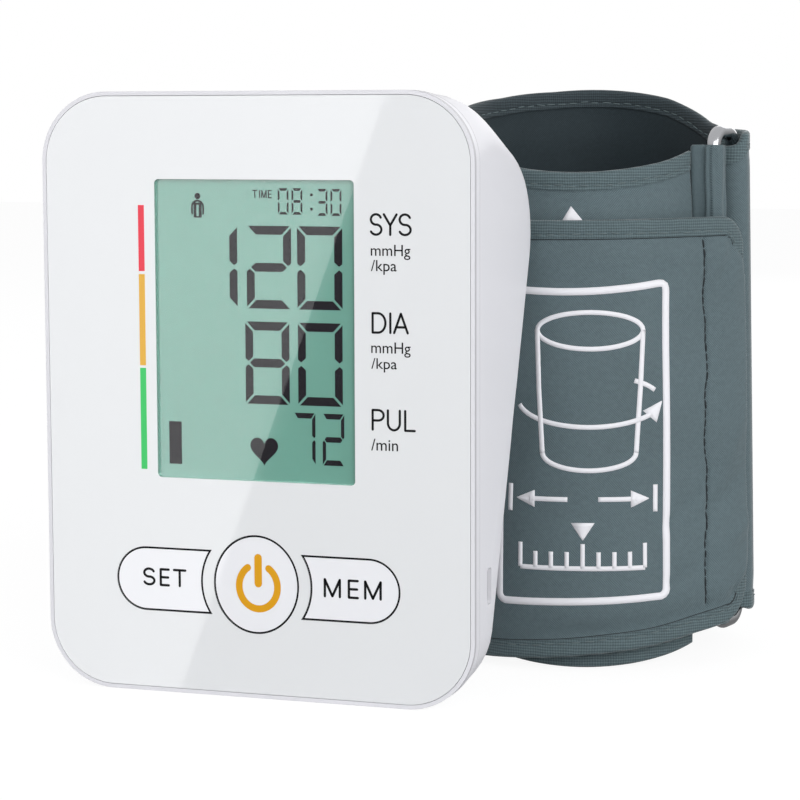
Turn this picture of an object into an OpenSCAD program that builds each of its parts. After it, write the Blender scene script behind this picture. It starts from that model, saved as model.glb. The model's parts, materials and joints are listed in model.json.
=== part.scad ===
// Upper-arm blood pressure monitor with its rolled arm cuff.
// The monitor stands on its lower end and faces -Y. The cuff stands behind it.
// Millimetres, +Z up. The origin is the middle of the front cover's lower edge.

/* [Monitor case] */
// Width across the face
case_w = 105.5; // [100:0.5:112]
// Height of the face
case_h = 140; // [136:0.5:146]
// Corner radius of the face
corner_r = 16.2; // [12:0.2:18]
// Depth of the front cover's side wall
front_t = 3.9; // [3.5:0.1:4.5]
// Depth of the case at its lower end
foot_depth = 10.9; // [10.5:0.1:12]
// Angle between the face and the sloping back
back_angle = 20; // [19:0.5:21]
// Radius of the thick upper edge
top_r = 20; // [18:0.5:21]
// Height of the centre of that radius
top_z = 106.5; // [105:0.5:108]
// Depth of that centre behind the face
top_d = 28.3; // [27:0.1:28.3]
// Radius of the rear edges
edge_r = 3.5; // [3:0.5:4.5]
// Wall thickness
wall = 2.2; // [1.8:0.1:2.4]

/* [Face] */
// Thickness of the glossy panel
panel_t = 1.2; // [1:0.1:1.3]
// Rim of the front cover seen round the panel
rim_w = 0.9; // [0.7:0.1:1.2]
// Width of the display window
window_w = 48.8; // [46:0.2:50]
// Height of the display window
window_h = 69.2; // [66:0.2:70]
// Height of the window's centre
window_z = 85.4; // [84:0.2:87]

/* [Keys] */
// Height of the row of keys
key_z = 26.7; // [25:0.1:28]
// Half height of the side keys
key_r = 7.1; // [6:0.1:7.5]
// Reach of the side keys from the middle
key_reach = 34.7; // [32:0.1:36]
// Radius of the side keys' hollow ends
key_hollow_r = 13.85; // [13.5:0.05:15]
// Half width of the power key
power_rx = 10.1; // [9:0.1:10.5]
// Half height of the power key
power_rz = 11.1; // [10:0.1:11.5]
// Gap round a key
key_gap = 0.35; // [0.3:0.05:0.5]

/* [Batteries] */
// Radius of a cell
cell_r = 5.2; // [5:0.05:5.25]
// Length of a cell
cell_l = 44; // [43:0.5:44.5]
// Spacing of the cells
cell_pitch = 10.9; // [10.7:0.1:11]
// Thickness of the battery door
door_t = 2; // [1.8:0.1:2.2]

/* [Arm cuff] */
// Place of the roll's centre across the face
cuff_x = 55; // [54:0.5:60]
// Place of the roll's centre behind the face
cuff_d = 87.5; // [87.5:0.5:92]
// Radius to the middle of the inner turn
roll_r = 32; // [31:0.1:32.5]
// Height of the cuff at the front
cuff_h = 120.5; // [116:0.5:122]
// How far the inner turn climbs towards the back
climb = 19; // [12:0.5:19]
// Share by which the roll widens to its lower edge
flare = 0.03; // [0:0.005:0.04]
// Thickness of the padded turn
pad_t = 5; // [4:0.1:5.2]
// Thickness of the strap
strap_t = 2; // [1.6:0.1:2.2]
// Radius of the steel ring's wire
wire_r = 1.75; // [1.5:0.05:1.8]

/* [Hidden] */
face_y = -front_t / 2;
eps = 0.02;
mid_z = case_h / 2;
plate_back = 3;
lip_end = 5.2;
pcb_front = 8.4;
pcb_back = 10;
panel_gap = 0.12;
flange_t = 0.8;
stem_end = 4.7;
switch_top = 5.3;
switch_x = 23;
// Where the sloping back meets the upper edge radius, along the slope
slope_end = (top_z - top_r * sin(back_angle)) / cos(back_angle);
// The battery bay, in the sloping back's own frame
bay_w = 4 * cell_pitch + 1;
bay_low = 55.5;
bay_top = bay_low + cell_l + 5;
bay_deep = door_t + 2 * cell_r + 1;
bay_wall = 1.4;
cell_low = bay_low + 2.5;
cell_n = -door_t - 0.5 - cell_r;
door_w = bay_w + 6;
door_low = bay_low - 3;
door_top = slope_end + 6;
door_gap = 0.3;
tongue_w = 1.2;
tongue_t = 0.8;
// Finger scoops in the rear edges
scoop_r = 46;
scoop_deep = 3;
scoop_s = 68;
// Screws and bosses
boss_x = 41;
boss_low_z = 11.5;
boss_top_z = 120;
boss_r = 3.3;
head_r = 2.4;
screw_r = 1.1;
foot_r = 4.2;
foot_t = 1.4;
foot_sink = 0.5;
foot_x = 34;
foot_rows = [26, 98];
// Side ports
usb_z = 27.35;
usb_d = 11.45;
air_z = 44;
air_d = 14.5;
air_bore_r = 2.1;
air_tube_r = 4.2;
air_len = 11;
// Pump
pump_r = 10.2;
pump_d = 21.2;
pump_z = 113;
pump_x = -3;
pump_out = 22;
motor_l = 30;
// Silicone air tube between socket, sensor, pump and valve
trunk_x = -34;
trunk_d = 19;
cross_z = 99;
link_x = 21.4;
tube_r = 2.2;
tube_bore = 1.1;
sensor_z = 70;
valve_at = [34, 20, 101];
valve_size = [11, 13, 15];
// Roll of the cuff, angles from the front, positive to the right
bar_one = [36.1, -9.9];
bar_two = [38.6, 1.4];
fold_r = wire_r + 0.45 + strap_t / 2;
// The ring leans with the flared roll
ring_heading = atan2(bar_two[1] - bar_one[1], bar_two[0] - bar_one[0]);
ring_lean = atan(2 * flare * norm(bar_one + bar_two) / 2 / cuff_h);
ring_low = 6;
ring_top = 131;
band_from = 68;
band_to = -258;
band_steps = 64;
pocket_t = 2.6;
patch_t = 0.5;
pocket_edge = 9.8;
port_a = -142;
port_r = 1.8;
flap_from = 104;
flap_to = 441;
flap_steps = 66;
flap_corner = 8;
sleeve_t = 1.2;
sleeve_low = 12;
sleeve_top = 124;

// ---- shared placing and outlines ----

// Depths are counted from the face, so this brings them into the part's frame
module behind_face() {
    translate([0, face_y, 0]) children();
}

// Turns an outline drawn in x and z, and its thickness, to run back from depth d
module plate(d, t) {
    behind_face()
        translate([0, d + t, 0])
            rotate([90, 0, 0])
                linear_extrude(t) children();
}

// Local x is mirrored across, y runs up the sloping back, z stands out of it
module on_back() {
    behind_face()
        translate([0, foot_depth, 0])
            rotate([90 + back_angle, 0, 180]) children();
}

module round_rect(w, h, r, zc) {
    translate([0, zc]) {
        square([w - 2 * r, h], center = true);
        square([w, h - 2 * r], center = true);
        for (sx = [-1, 1], sz = [-1, 1])
            translate([sx * (w / 2 - r), sz * (h / 2 - r)])
                circle(r, $fn = 64);
    }
}

module face_outline(inset) {
    round_rect(case_w - 2 * inset, case_h - 2 * inset, corner_r - inset, mid_z);
}

module side_key_outline(side, grow) {
    centre_x = key_reach - key_r;
    difference() {
        union() {
            translate([side * centre_x, key_z])
                circle(key_r + grow, $fn = 64);
            translate([side * centre_x / 2, key_z])
                square([centre_x, 2 * (key_r + grow)], center = true);
        }
        translate([0, key_z])
            circle(key_hollow_r - grow, $fn = 96);
    }
}

module oval(rx, rz) {
    polygon([for (a = [0 : 5 : 355]) [rx * cos(a), rz * sin(a)]]);
}

module power_outline(grow) {
    translate([0, key_z])
        oval(power_rx + grow, power_rz + grow);
}

module torus(big, small) {
    rotate_extrude($fn = 40)
        translate([big, 0])
            circle(small, $fn = 20);
}

// The wedge-shaped body behind the front cover, drawn in by an inset
module wedge_body(inset) {
    low_big = corner_r - edge_r;
    low_z = low_big * cos(back_angle) + edge_r;
    hull() {
        plate(front_t - (inset > 0 ? eps : 0), 0.1)
            face_outline(inset);
        on_back()
            for (sx = [-1, 1])
                translate([sx * (case_w / 2 - corner_r), low_z / cos(back_angle), -edge_r])
                    torus(low_big, edge_r - inset);
        behind_face()
            for (sx = [-1, 1])
                translate([sx * (case_w / 2 - edge_r), top_d, top_z])
                    rotate([0, 90, 0])
                        torus(top_r - edge_r, edge_r - inset);
    }
}

module finger_scoops(grow) {
    on_back()
        for (sx = [-1, 1])
            translate([sx * case_w / 2, scoop_s, scoop_r - scoop_deep])
                sphere(scoop_r + grow, $fn = 96);
}

module boss_places(z_list) {
    for (sx = [-1, 1], z = z_list)
        behind_face()
            translate([sx * boss_x, 0, z])
                rotate([-90, 0, 0]) children();
}

// ---- front of the monitor ----

module front_cover() color("whitesmoke") {
    difference() {
        union() {
            plate(0, front_t)
                face_outline(0);
            plate(plate_back - eps, lip_end - plate_back)
                face_outline(wall + 0.7);
            boss_places([boss_low_z, boss_top_z])
                translate([0, 0, plate_back - eps])
                    cylinder(h = 5.2, r = boss_r - 0.4, $fn = 48);
        }
        difference() {
            plate(plate_back, 4)
                face_outline(wall + 1.8);
            boss_places([boss_low_z, boss_top_z])
                cylinder(h = 20, r = boss_r - 0.4, $fn = 48);
        }
        plate(-1, panel_t + 1)
            face_outline(rim_w);
        plate(0, 6)
            round_rect(window_w + 2.6, window_h + 2.6, 0.8, window_z);
        plate(0, 6)
            power_outline(key_gap);
        for (side = [-1, 1])
            plate(0, 6)
                side_key_outline(side, key_gap);
        boss_places([boss_low_z, boss_top_z])
            translate([0, 0, panel_t + 1])
                cylinder(h = 12, r = screw_r, $fn = 32);
    }
}

module face_panel() color("white") {
    difference() {
        plate(0, panel_t)
            face_outline(rim_w + panel_gap);
        plate(-1, 4)
            round_rect(window_w, window_h, 1, window_z);
        plate(-1, 4)
            power_outline(key_gap);
        for (side = [-1, 1])
            plate(-1, 4)
                side_key_outline(side, key_gap);
    }
}

module display_window() color("lightcyan", 0.4) {
    plate(0, panel_t)
        round_rect(window_w - 0.04, window_h - 0.04, 1, window_z);
}

module lcd_glass() color("darkseagreen") {
    plate(panel_t + 0.05, 1.75)
        round_rect(window_w + 2, window_h + 2, 0.6, window_z);
}

module light_outline(grow) {
    translate([0, window_z + 2])
        square([window_w + grow, window_h - 5 + grow], center = true);
    translate([0, window_z + window_h / 2 + 0.5])
        square([window_w - 12 + grow, 3 + grow], center = true);
}

module backlight() color("honeydew") {
    plate(plate_back + 0.1, 1.9)
        light_outline(0);
}

module lcd_frame() color("gainsboro") {
    frame_t = pcb_front - plate_back - 0.1;
    border = 4;
    strip_h = 3.8;
    difference() {
        plate(plate_back + 0.05, frame_t)
            round_rect(window_w + 2 * border, window_h + 2 * border, 2, window_z);
        plate(plate_back, 2.1)
            light_outline(0.4);
        plate(plate_back + 3.2, 8)
            translate([0, window_z + 4])
                square([window_w - border, window_h - 18], center = true);
        plate(plate_back, 8)
            translate([0, window_z - window_h / 2 + 2.2])
                square([window_w - 2, strip_h], center = true);
    }
}

module contact_strip() color("silver") {
    plate(plate_back + 0.05, pcb_front - plate_back - 0.1)
        translate([0, window_z - window_h / 2 + 2.2])
            square([window_w - 3, 3.2], center = true);
}

// ---- keys ----

module key_body(stem_x) {
    flange_d = plate_back + 0.15;
    stem_d = plate_back + 0.5;
    stem_r = 2.5;
    plate(0, flange_d + 0.05) children(0);
    plate(flange_d, flange_t) children(1);
    behind_face()
        translate([stem_x, stem_d, key_z])
            rotate([-90, 0, 0])
                cylinder(h = stem_end - stem_d, r = stem_r, $fn = 32);
}

module power_button() color("white") {
    key_body(0) {
        power_outline(0);
        power_outline(1);
    }
}

module set_button() color("white") {
    key_body(-switch_x) {
        side_key_outline(-1, 0);
        side_key_outline(-1, 0.8);
    }
}

module mem_button() color("white") {
    key_body(switch_x) {
        side_key_outline(1, 0);
        side_key_outline(1, 0.8);
    }
}

// ---- electronics ----

module main_board() color("seagreen") {
    board_w = 89;
    board_low = 16;
    board_top = 125;
    tongue = [8.9, 12];
    hole_r = 1.3;
    chip_one = [12, 12, 1.4];
    chip_two = [6, 5, 1];
    behind_face()
        difference() {
            translate([0, pcb_back, 0])
                rotate([90, 0, 0])
                    linear_extrude(pcb_back - pcb_front)
                        difference() {
                            union() {
                                round_rect(board_w, board_top - board_low, 3, (board_low + board_top) / 2);
                                translate([46, usb_z])
                                    square(tongue, center = true);
                            }
                            for (sx = [-1, 1], z = [boss_low_z, boss_top_z])
                                translate([sx * boss_x, z])
                                    circle(boss_r + 1, $fn = 32);
                        }
            for (sx = [-1, 1], z = [40, 123])
                translate([sx * 30, 0, z])
                    rotate([-90, 0, 0])
                        cylinder(h = 20, r = hole_r, $fn = 24);
        }
    plate(pcb_back - eps, chip_one[2])
        translate([4, 47])
            square([chip_one[0], chip_one[1]], center = true);
    plate(pcb_back - eps, chip_two[2])
        translate([-14, 40])
            square([chip_two[0], chip_two[1]], center = true);
}

module key_switches() color("dimgray") {
    switch_w = 6;
    cap_h = 1.1;
    cap_r = 1.7;
    for (x = [-switch_x, 0, switch_x]) {
        plate(switch_top + cap_h, pcb_front - switch_top - cap_h)
            translate([x, key_z])
                square(switch_w, center = true);
        behind_face()
            translate([x, switch_top, key_z])
                rotate([-90, 0, 0])
                    cylinder(h = cap_h + 0.1, r = cap_r, $fn = 32);
    }
}

module buzzer() color("black") {
    buzzer_h = 3.4;
    buzzer_r = 6;
    sound_r = 1;
    behind_face()
        translate([22, pcb_back, 38])
            rotate([-90, 0, 0])
                difference() {
                    cylinder(h = buzzer_h, r = buzzer_r, $fn = 48);
                    translate([0, 0, buzzer_h - 1.4])
                        cylinder(h = 2, r = sound_r, $fn = 24);
                }
}

module usb_socket() color("silver") {
    shell_w = 7.8;
    shell_t = 2.8;
    shell_l = 5.6;
    sheet = 0.3;
    pin = [3.4, 0.7, 4];
    behind_face()
        translate([case_w / 2 - 0.8, usb_d, usb_z])
            rotate([0, -90, 0])
                difference() {
                    linear_extrude(shell_l)
                        offset_rect(shell_w, shell_t, 0.6);
                    translate([0, 0, -1])
                        linear_extrude(shell_l)
                            offset_rect(shell_w - 2 * sheet, shell_t - 2 * sheet, 0.4);
                }
    behind_face()
        translate([case_w / 2 - 5.4, usb_d, usb_z])
            cube(pin, center = true);
}

module offset_rect(w, h, r) {
    square([w - 2 * r, h], center = true);
    square([w, h - 2 * r], center = true);
    for (sx = [-1, 1], sy = [-1, 1])
        translate([sx * (w / 2 - r), sy * (h / 2 - r)])
            circle(r, $fn = 24);
}

// ---- air system ----

module pressure_sensor() color("dimgray") {
    body_w = 9;
    body_t = 4;
    plate(pcb_back, body_t)
        translate([trunk_x, sensor_z])
            square(body_w, center = true);
    behind_face()
        translate([trunk_x, pcb_back + body_t, sensor_z])
            rotate([-90, 0, 0])
                cylinder(h = 1.4, r = 1.5, $fn = 32);
}

module pump_motor() color("silver") {
    behind_face()
        translate([pump_x - motor_l, pump_d, pump_z])
            rotate([0, 90, 0]) {
                cylinder(h = motor_l, r = pump_r, $fn = 64);
                translate([0, 0, -1.5])
                    cylinder(h = 1.6, r = 3, $fn = 32);
            }
}

module pump_head() color("gray") {
    behind_face()
        translate([pump_x, pump_d, pump_z]) {
            rotate([0, 90, 0])
                cylinder(h = 4, r = pump_r, $fn = 64);
            translate([10, 0, 0])
                cube([13, 18, 18], center = true);
            pipe_x(16.4, pump_out, 1.8);
        }
}

module release_valve() color("slategray") {
    behind_face()
        translate(valve_at)
            difference() {
                union() {
                    cube(valve_size, center = true);
                    translate([0, 0, valve_size[2] / 2 - 0.5])
                        cylinder(h = 4, r = 1.8, $fn = 32);
                }
                translate([0, 0, 4])
                    cylinder(h = 8, r = 0.9, $fn = 24);
            }
}

module pipe_x(from_x, to_x, r) {
    translate([from_x, 0, 0])
        rotate([0, 90, 0])
            cylinder(h = to_x - from_x, r = r, $fn = 32);
}

module pipe_y(from_y, to_y, r) {
    translate([0, from_y, 0])
        rotate([-90, 0, 0])
            cylinder(h = to_y - from_y, r = r, $fn = 32);
}

module pipe_z(from_z, to_z, r) {
    translate([0, 0, from_z])
        cylinder(h = to_z - from_z, r = r, $fn = 32);
}

// Runs of the air tube. The closed ends stop short of the outside by a wall
module manifold_form(r, end_wall, open_over) {
    behind_face() {
        translate([trunk_x, trunk_d, 0])
            pipe_z(air_z - tube_r + end_wall, cross_z + tube_r - end_wall, r);
        translate([0, air_d, air_z])
            pipe_x(-case_w / 2 + 0.5 + air_len - open_over, trunk_x + r, r);
        translate([trunk_x, 0, air_z])
            pipe_y(air_d - tube_r + end_wall, trunk_d, r);
        translate([trunk_x, 0, sensor_z])
            pipe_y(pcb_back + 5.5 - open_over, trunk_d, r);
        translate([0, trunk_d, cross_z])
            pipe_x(trunk_x, valve_at[0] - valve_size[0] / 2 - 0.05 + open_over, r);
        translate([link_x, pump_d, 0])
            pipe_z(cross_z, pump_z + tube_r - end_wall, r);
        translate([0, pump_d, pump_z])
            pipe_x(pump_x + pump_out + 0.05 - open_over, link_x, r);
    }
}

module air_manifold() color("lightgray") {
    difference() {
        manifold_form(tube_r, 0, 0);
        manifold_form(tube_bore, tube_r - tube_bore, 1);
    }
}

// The round inlet that the cuff's air plug pushes into
module air_socket() color("gainsboro") {
    behind_face()
        translate([-case_w / 2 + 0.4, air_d, air_z])
            rotate([0, 90, 0])
                difference() {
                    union() {
                        cylinder(h = air_len, r = air_tube_r, $fn = 64);
                        translate([0, 0, wall])
                            cylinder(h = 1.5, r = air_tube_r + 1.4, $fn = 64);
                    }
                    translate([0, 0, -1])
                        cylinder(h = air_len - 1, r = air_bore_r, $fn = 64);
                    cylinder(h = air_len + 1, r = 0.9, $fn = 32);
                }
}

// ---- rear cover, door and batteries ----

module back_box(w, low, top, n_low, n_top) {
    on_back()
        translate([-w / 2, low, n_low])
            cube([w, top - low, n_top - n_low]);
}

module rear_cover() color("whitesmoke") {
    difference() {
        union() {
            difference() {
                wedge_body(0);
                difference() {
                    wedge_body(wall);
                    finger_scoops(wall);
                }
            }
            intersection() {
                wedge_body(1);
                union() {
                    back_box(bay_w + 2 * bay_wall, bay_low - bay_wall, bay_top + bay_wall,
                        -bay_deep - bay_wall, 0);
                    back_box(door_w + 4, door_low - 2, door_top + 12, -door_t - 2, 0);
                    boss_places([boss_low_z, boss_top_z])
                        translate([0, 0, 8.4])
                            cylinder(h = 40, r = boss_r, $fn = 48);
                }
            }
        }
        finger_scoops(0);
        foot_places()
            cylinder(h = 4, r = foot_r + 0.15, $fn = 48);
        back_box(bay_w, bay_low, bay_top, -bay_deep, 5);
        back_box(door_w + 2 * door_gap, door_low - door_gap, 160, -door_t - 0.05, 8);
        back_box(door_w + 2 * (tongue_w + door_gap), door_low + 4, 160,
            -door_t - 0.3, -door_t + tongue_t + 0.3);
        boss_places([boss_low_z, boss_top_z]) {
            translate([0, 0, 6])
                cylinder(h = 50, r = screw_r + 0.3, $fn = 32);
            translate([0, 0, 10.4])
                cylinder(h = 50, r = head_r + 0.3, $fn = 48);
        }
        behind_face() {
            translate([case_w / 2 + 1, usb_d, usb_z])
                rotate([0, -90, 0])
                    linear_extrude(8)
                        offset_rect(8.4, 3.1, 0.8);
            translate([-case_w / 2 - 1, air_d, air_z])
                rotate([0, 90, 0])
                    cylinder(h = 8, r = air_tube_r + 0.05, $fn = 64);
        }
    }
}

module battery_door() color("whitesmoke") {
    ridge_n = 6;
    intersection() {
        wedge_body(0);
        back_box(door_w, door_low, door_top, -door_t, 5);
    }
    back_box(door_w + 2 * tongue_w, door_low + 5, bay_top - 2, -door_t, -door_t + tongue_t);
    for (i = [0 : ridge_n - 1])
        back_box(16 - 1.2 * abs(i - 2.5), door_low + 4 + 2.2 * i, door_low + 5 + 2.2 * i, -0.5, 0.5);
}

module battery_cell(i) color("steelblue") {
    nub_l = 1;
    nub_r = 1.8;
    on_back()
        translate([(i - 2.5) * cell_pitch, 0, cell_n])
            rotate([i % 2 == 0 ? 90 : -90, 0, 0])
                translate([0, 0, i % 2 == 0 ? -cell_low - cell_l : cell_low]) {
                    cylinder(h = cell_l - nub_l, r = cell_r, $fn = 48);
                    cylinder(h = cell_l, r = nub_r, $fn = 32);
                }
}

module battery_contacts() color("silver") {
    leaf = 0.5;
    leaf_w = 8.4;
    spring_r = 1.6;
    for (i = [1 : 4])
        on_back()
            translate([(i - 2.5) * cell_pitch, 0, cell_n])
                for (end = [0, 1]) {
                    s = end == 0 ? bay_low : bay_top - leaf;
                    tip = end == 0 ? bay_low : cell_low + cell_l;
                    tip_l = end == 0 ? cell_low - bay_low : bay_top - cell_low - cell_l;
                    translate([-leaf_w / 2, s, -leaf_w / 2])
                        cube([leaf_w, leaf, leaf_w]);
                    translate([0, tip + tip_l, 0])
                        rotate([90, 0, 0])
                            cylinder(h = tip_l, r = spring_r, $fn = 24);
                }
}

module foot_places() {
    for (sx = [-1, 1], s = foot_rows)
        on_back()
            translate([sx * foot_x, s, -foot_sink]) children();
}

module rubber_feet() color("dimgray") {
    foot_places()
        cylinder(h = foot_sink + foot_t, r1 = foot_r, r2 = foot_r - 0.6, $fn = 48);
}

module case_screws() color("silver") {
    boss_places([boss_low_z, boss_top_z])
        difference() {
            union() {
                translate([0, 0, 3.6])
                    cylinder(h = 7, r = screw_r - 0.05, $fn = 24);
                translate([0, 0, 10.45])
                    cylinder(h = 1.5, r = head_r, $fn = 32);
            }
            translate([0, 0, 11.3]) {
                cube([3, 0.6, 2], center = true);
                cube([0.6, 3, 2], center = true);
            }
        }
}

// ---- arm cuff ----

// Plan point at an angle from the front and a distance from the roll's centre
function polar(a, r) = [r * sin(a), -r * cos(a)];

// Distance of the padded inner turn, and of the strap's outer turn
function band_r(a) = lookup(a, [[-258, 36.4], [-240, 34], [-215, roll_r + 0.4], [-190, roll_r],
    [30, roll_r], [band_from, roll_r + 0.6]]);
function strap_r(a) = lookup(a, [[104, 41.6], [118, 39.8], [140, 37.4], [170, 36.4], [190, 36.3],
    [335, 36.4], [352, 36.8], [400, 36.9], [418, 38.6], [427, 40.6], [434, 41.9], [441, 42.9]]);

// Lower and upper edges of each turn, which climbs as it winds
function band_low(a) = climb * (1 - cos(a - 15)) / 2;
function band_top(a) = cuff_h + (climb + 1) * (1 - cos(a - 12)) / 2;
function strap_low(a) = lookup(a, [[90, 9], [94, 11.4], [104, 9.4], [130, 4], [180, 0], [290, 0],
    [340, 2], [367, 3.4], [400, 5.6], [430, 9.6], [441, 11.8]]);
function strap_top(a) = lookup(a, [[90, 130.5], [94, 126.6], [100, 130.2], [104, 130.4], [118, 130.6],
    [130, 129.4], [180, 126], [270, 120], [320, 112], [350, 109.2], [441, 109.8]]);

// The band is padded where the bladder lies, and thins to the strap
function band_t(a) = lookup(a, [[-258, strap_t], [-200, strap_t + 0.4], [-150, pad_t],
    [45, pad_t], [band_from, strap_t + 1]]);

function angles(from, to, steps) = [for (i = [0 : steps]) from + (to - from) * i / steps];
function spread(p, z, low, top) = p * (1 + flare * (1 - 2 * (z - low) / (top - low)));
function unit(v) = v / norm(v);
// Plan normal of a path at point i, to the path's right
function side_of(path, i) =
    let (a = path[max(i - 1, 0)], b = path[min(i + 1, len(path) - 1)], t = unit(b - a))
    [t[1], -t[0]];

// A strip of thickness t[i] that stands on the plan path between low[i] and top[i]
module strip(path, t, low, top) {
    n = len(path);
    corners = [for (i = [0 : n - 1], k = [0 : 3])
        let (
            s = side_of(path, i) * t[i] / 2 * (k == 0 || k == 3 ? 1 : -1),
            z = k < 2 ? low[i] : top[i],
            p = spread(path[i] + s, z, 0, cuff_h))
        [p[0], p[1], z]];
    sides = [for (i = [0 : n - 2], k = [0 : 3])
        let (a = 4 * i + k, b = 4 * i + (k + 1) % 4)
        each [[b + 4, b, a], [a + 4, b + 4, a]]];
    ends = [[0, 1, 2], [0, 2, 3], [4 * n - 2, 4 * n - 3, 4 * n - 4], [4 * n - 1, 4 * n - 2, 4 * n - 4]];
    behind_face()
        translate([cuff_x, cuff_d, 0])
            polyhedron(points = corners, faces = concat(sides, ends), convexity = 10);
}

module turn_strip(list, r, t, low, top) {
    strip(
        [for (i = [0 : len(list) - 1]) polar(list[i], r[i])],
        t, low, top);
}

band_angles = angles(band_from, band_to, band_steps);

module cuff_band() color("darkslategray") {
    pocket = angles(44, port_a - 8, 36);
    difference() {
        turn_strip(band_angles, [for (a = band_angles) band_r(a)], [for (a = band_angles) band_t(a)],
            [for (a = band_angles) band_low(a)], [for (a = band_angles) band_top(a)]);
        turn_strip(pocket, [for (a = pocket) band_r(a)], [for (a = pocket) pocket_t],
            [for (a = pocket) band_low(a) + pocket_edge], [for (a = pocket) band_top(a) - pocket_edge]);
        port_place()
            translate([0, 0, -20])
                cylinder(h = 40, r = port_r + 0.05, $fn = 48);
    }
}

module air_bladder() color("darkolivegreen") {
    fill = angles(43, port_a - 7, 36);
    difference() {
        turn_strip(fill, [for (a = fill) band_r(a)], [for (a = fill) pocket_t - 0.2],
            [for (a = fill) band_low(a) + pocket_edge + 0.2],
            [for (a = fill) band_top(a) - pocket_edge - 0.2]);
        port_place()
            translate([0, 0, -20])
                cylinder(h = 40, r = port_r + 0.05, $fn = 48);
    }
}

module port_place() {
    p = polar(port_a, roll_r);
    behind_face()
        translate([cuff_x + p[0], cuff_d + p[1], band_low(port_a)]) children();
}

// The stub that the air hose pushes onto, under the band's raised rear edge
module hose_port() color("gray") {
    port_place()
        difference() {
            union() {
                translate([0, 0, -9.5])
                    cylinder(h = 29, r = port_r, $fn = 48);
                translate([0, 0, -2])
                    cylinder(h = 1.2, r = 3, $fn = 48);
            }
            translate([0, 0, -10])
                cylinder(h = 31, r = port_r / 2, $fn = 32);
        }
}

fold_turns = [180 : 22.5 : 360];
fold = [for (a = fold_turns) bar_two + fold_r * [cos(a), sin(a)]];
strap_angles = angles(flap_from, flap_to, flap_steps);
band_end = polar(band_to, band_r(band_to));
strap_path = concat([band_end + 0.5 * unit(fold[0] - band_end)], fold,
    [for (a = strap_angles) polar(a, strap_r(a))]);
// Its upper edge stays under the ring's crossbar, and rises once round the bar
strap_key = concat([90], [for (a = fold_turns) 94 + max(a - 292.5, 0) / 12], strap_angles);
// The free end is rounded off over its last few degrees
end_turn = 1.35;
function end_cut(a) = let (x = max(a - (flap_to - flap_corner * end_turn), 0) / end_turn)
    flap_corner - sqrt(max(flap_corner * flap_corner - x * x, 0));

module cuff_strap() color("darkslategray") {
    strip(strap_path, [for (a = strap_key) strap_t],
        [for (a = strap_key) strap_low(a) + end_cut(a)],
        [for (a = strap_key) strap_top(a) - end_cut(a)]);
}

// Hook fabric inside the strap's end, and loop fabric outside the padded turn
module loop_patch() color("black") {
    list = angles(-20, 50, 20);
    gap = pad_t / 2 + patch_t / 2 + 0.05;
    turn_strip(list, [for (a = list) band_r(a) + gap], [for (a = list) patch_t],
        [for (a = list) 22], [for (a = list) 92]);
}

module hook_patch() color("dimgray") {
    list = angles(350, 400, 16);
    gap = strap_t / 2 + patch_t / 2 + 0.05;
    turn_strip(list, [for (a = list) strap_r(a) - gap], [for (a = list) patch_t],
        [for (a = list) 30], [for (a = list) 84]);
}

// The ring's upright frame at its first bar, which leans as the roll flares
module ring_place() {
    behind_face()
        translate([cuff_x, cuff_d, cuff_h / 2])
            rotate([0, -ring_lean, 0])
                translate([bar_one[0], bar_one[1], -cuff_h / 2]) children();
}

module quarter_bend(r, wire) {
    rotate_extrude(angle = 90, $fn = 48)
        translate([r, 0])
            circle(wire, $fn = 32);
}

// One closed loop of wire with two tall bars
module steel_ring() color("silver") {
    bend_r = 4;
    width = norm(bar_two - bar_one);
    tall = ring_top - ring_low - 2 * wire_r;
    ring_place()
        translate([0, 0, ring_low + wire_r])
            rotate([90, 0, ring_heading]) {
                for (x = [0, width])
                    translate([x, bend_r, 0])
                        rotate([-90, 0, 0])
                            cylinder(h = tall - 2 * bend_r, r = wire_r, $fn = 32);
                for (y = [0, tall])
                    translate([bend_r, y, 0])
                        rotate([0, 90, 0])
                            cylinder(h = width - 2 * bend_r, r = wire_r, $fn = 32);
                for (x = [0, 1], y = [0, 1])
                    translate([x == 0 ? bend_r : width - bend_r, y == 0 ? bend_r : tall - bend_r, 0])
                        rotate([0, 0, x == 0 ? (y == 0 ? 180 : 90) : (y == 0 ? 270 : 0)])
                            quarter_bend(bend_r, wire_r);
            }
}

// Sewn loop of the band's own cloth, which holds one bar of the ring
module ring_sleeve() color("darkslategray") {
    tab_gap = 0.9;
    tab_t = 2;
    tab = polar(band_from, band_r(band_from) + 0.6) - bar_one;
    reach = norm(tab);
    ring_place()
        translate([0, 0, sleeve_low])
            linear_extrude(sleeve_top - sleeve_low)
                difference() {
                    union() {
                        circle(wire_r + sleeve_t, $fn = 48);
                        rotate([0, 0, atan2(tab[1], tab[0])])
                            translate([(reach - tab_gap) / 2, 0])
                                square([reach - tab_gap, tab_t], center = true);
                    }
                    circle(wire_r + 0.1, $fn = 48);
                }
}

front_cover();
face_panel();
display_window();
lcd_glass();
backlight();
lcd_frame();
contact_strip();
power_button();
set_button();
mem_button();
main_board();
key_switches();
buzzer();
usb_socket();
pressure_sensor();
pump_motor();
pump_head();
release_valve();
air_manifold();
air_socket();
rear_cover();
battery_door();
battery_contacts();
battery_cell(1);  // battery_cell_1
battery_cell(2);  // battery_cell_2
battery_cell(3);  // battery_cell_3
battery_cell(4);  // battery_cell_4
rubber_feet();
case_screws();
cuff_band();
air_bladder();
hose_port();
cuff_strap();
loop_patch();
hook_patch();
steel_ring();
ring_sleeve();
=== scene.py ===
import json
import math
import bmesh
import bpy
import numpy as np
from mathutils import Matrix, Vector, noise


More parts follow.
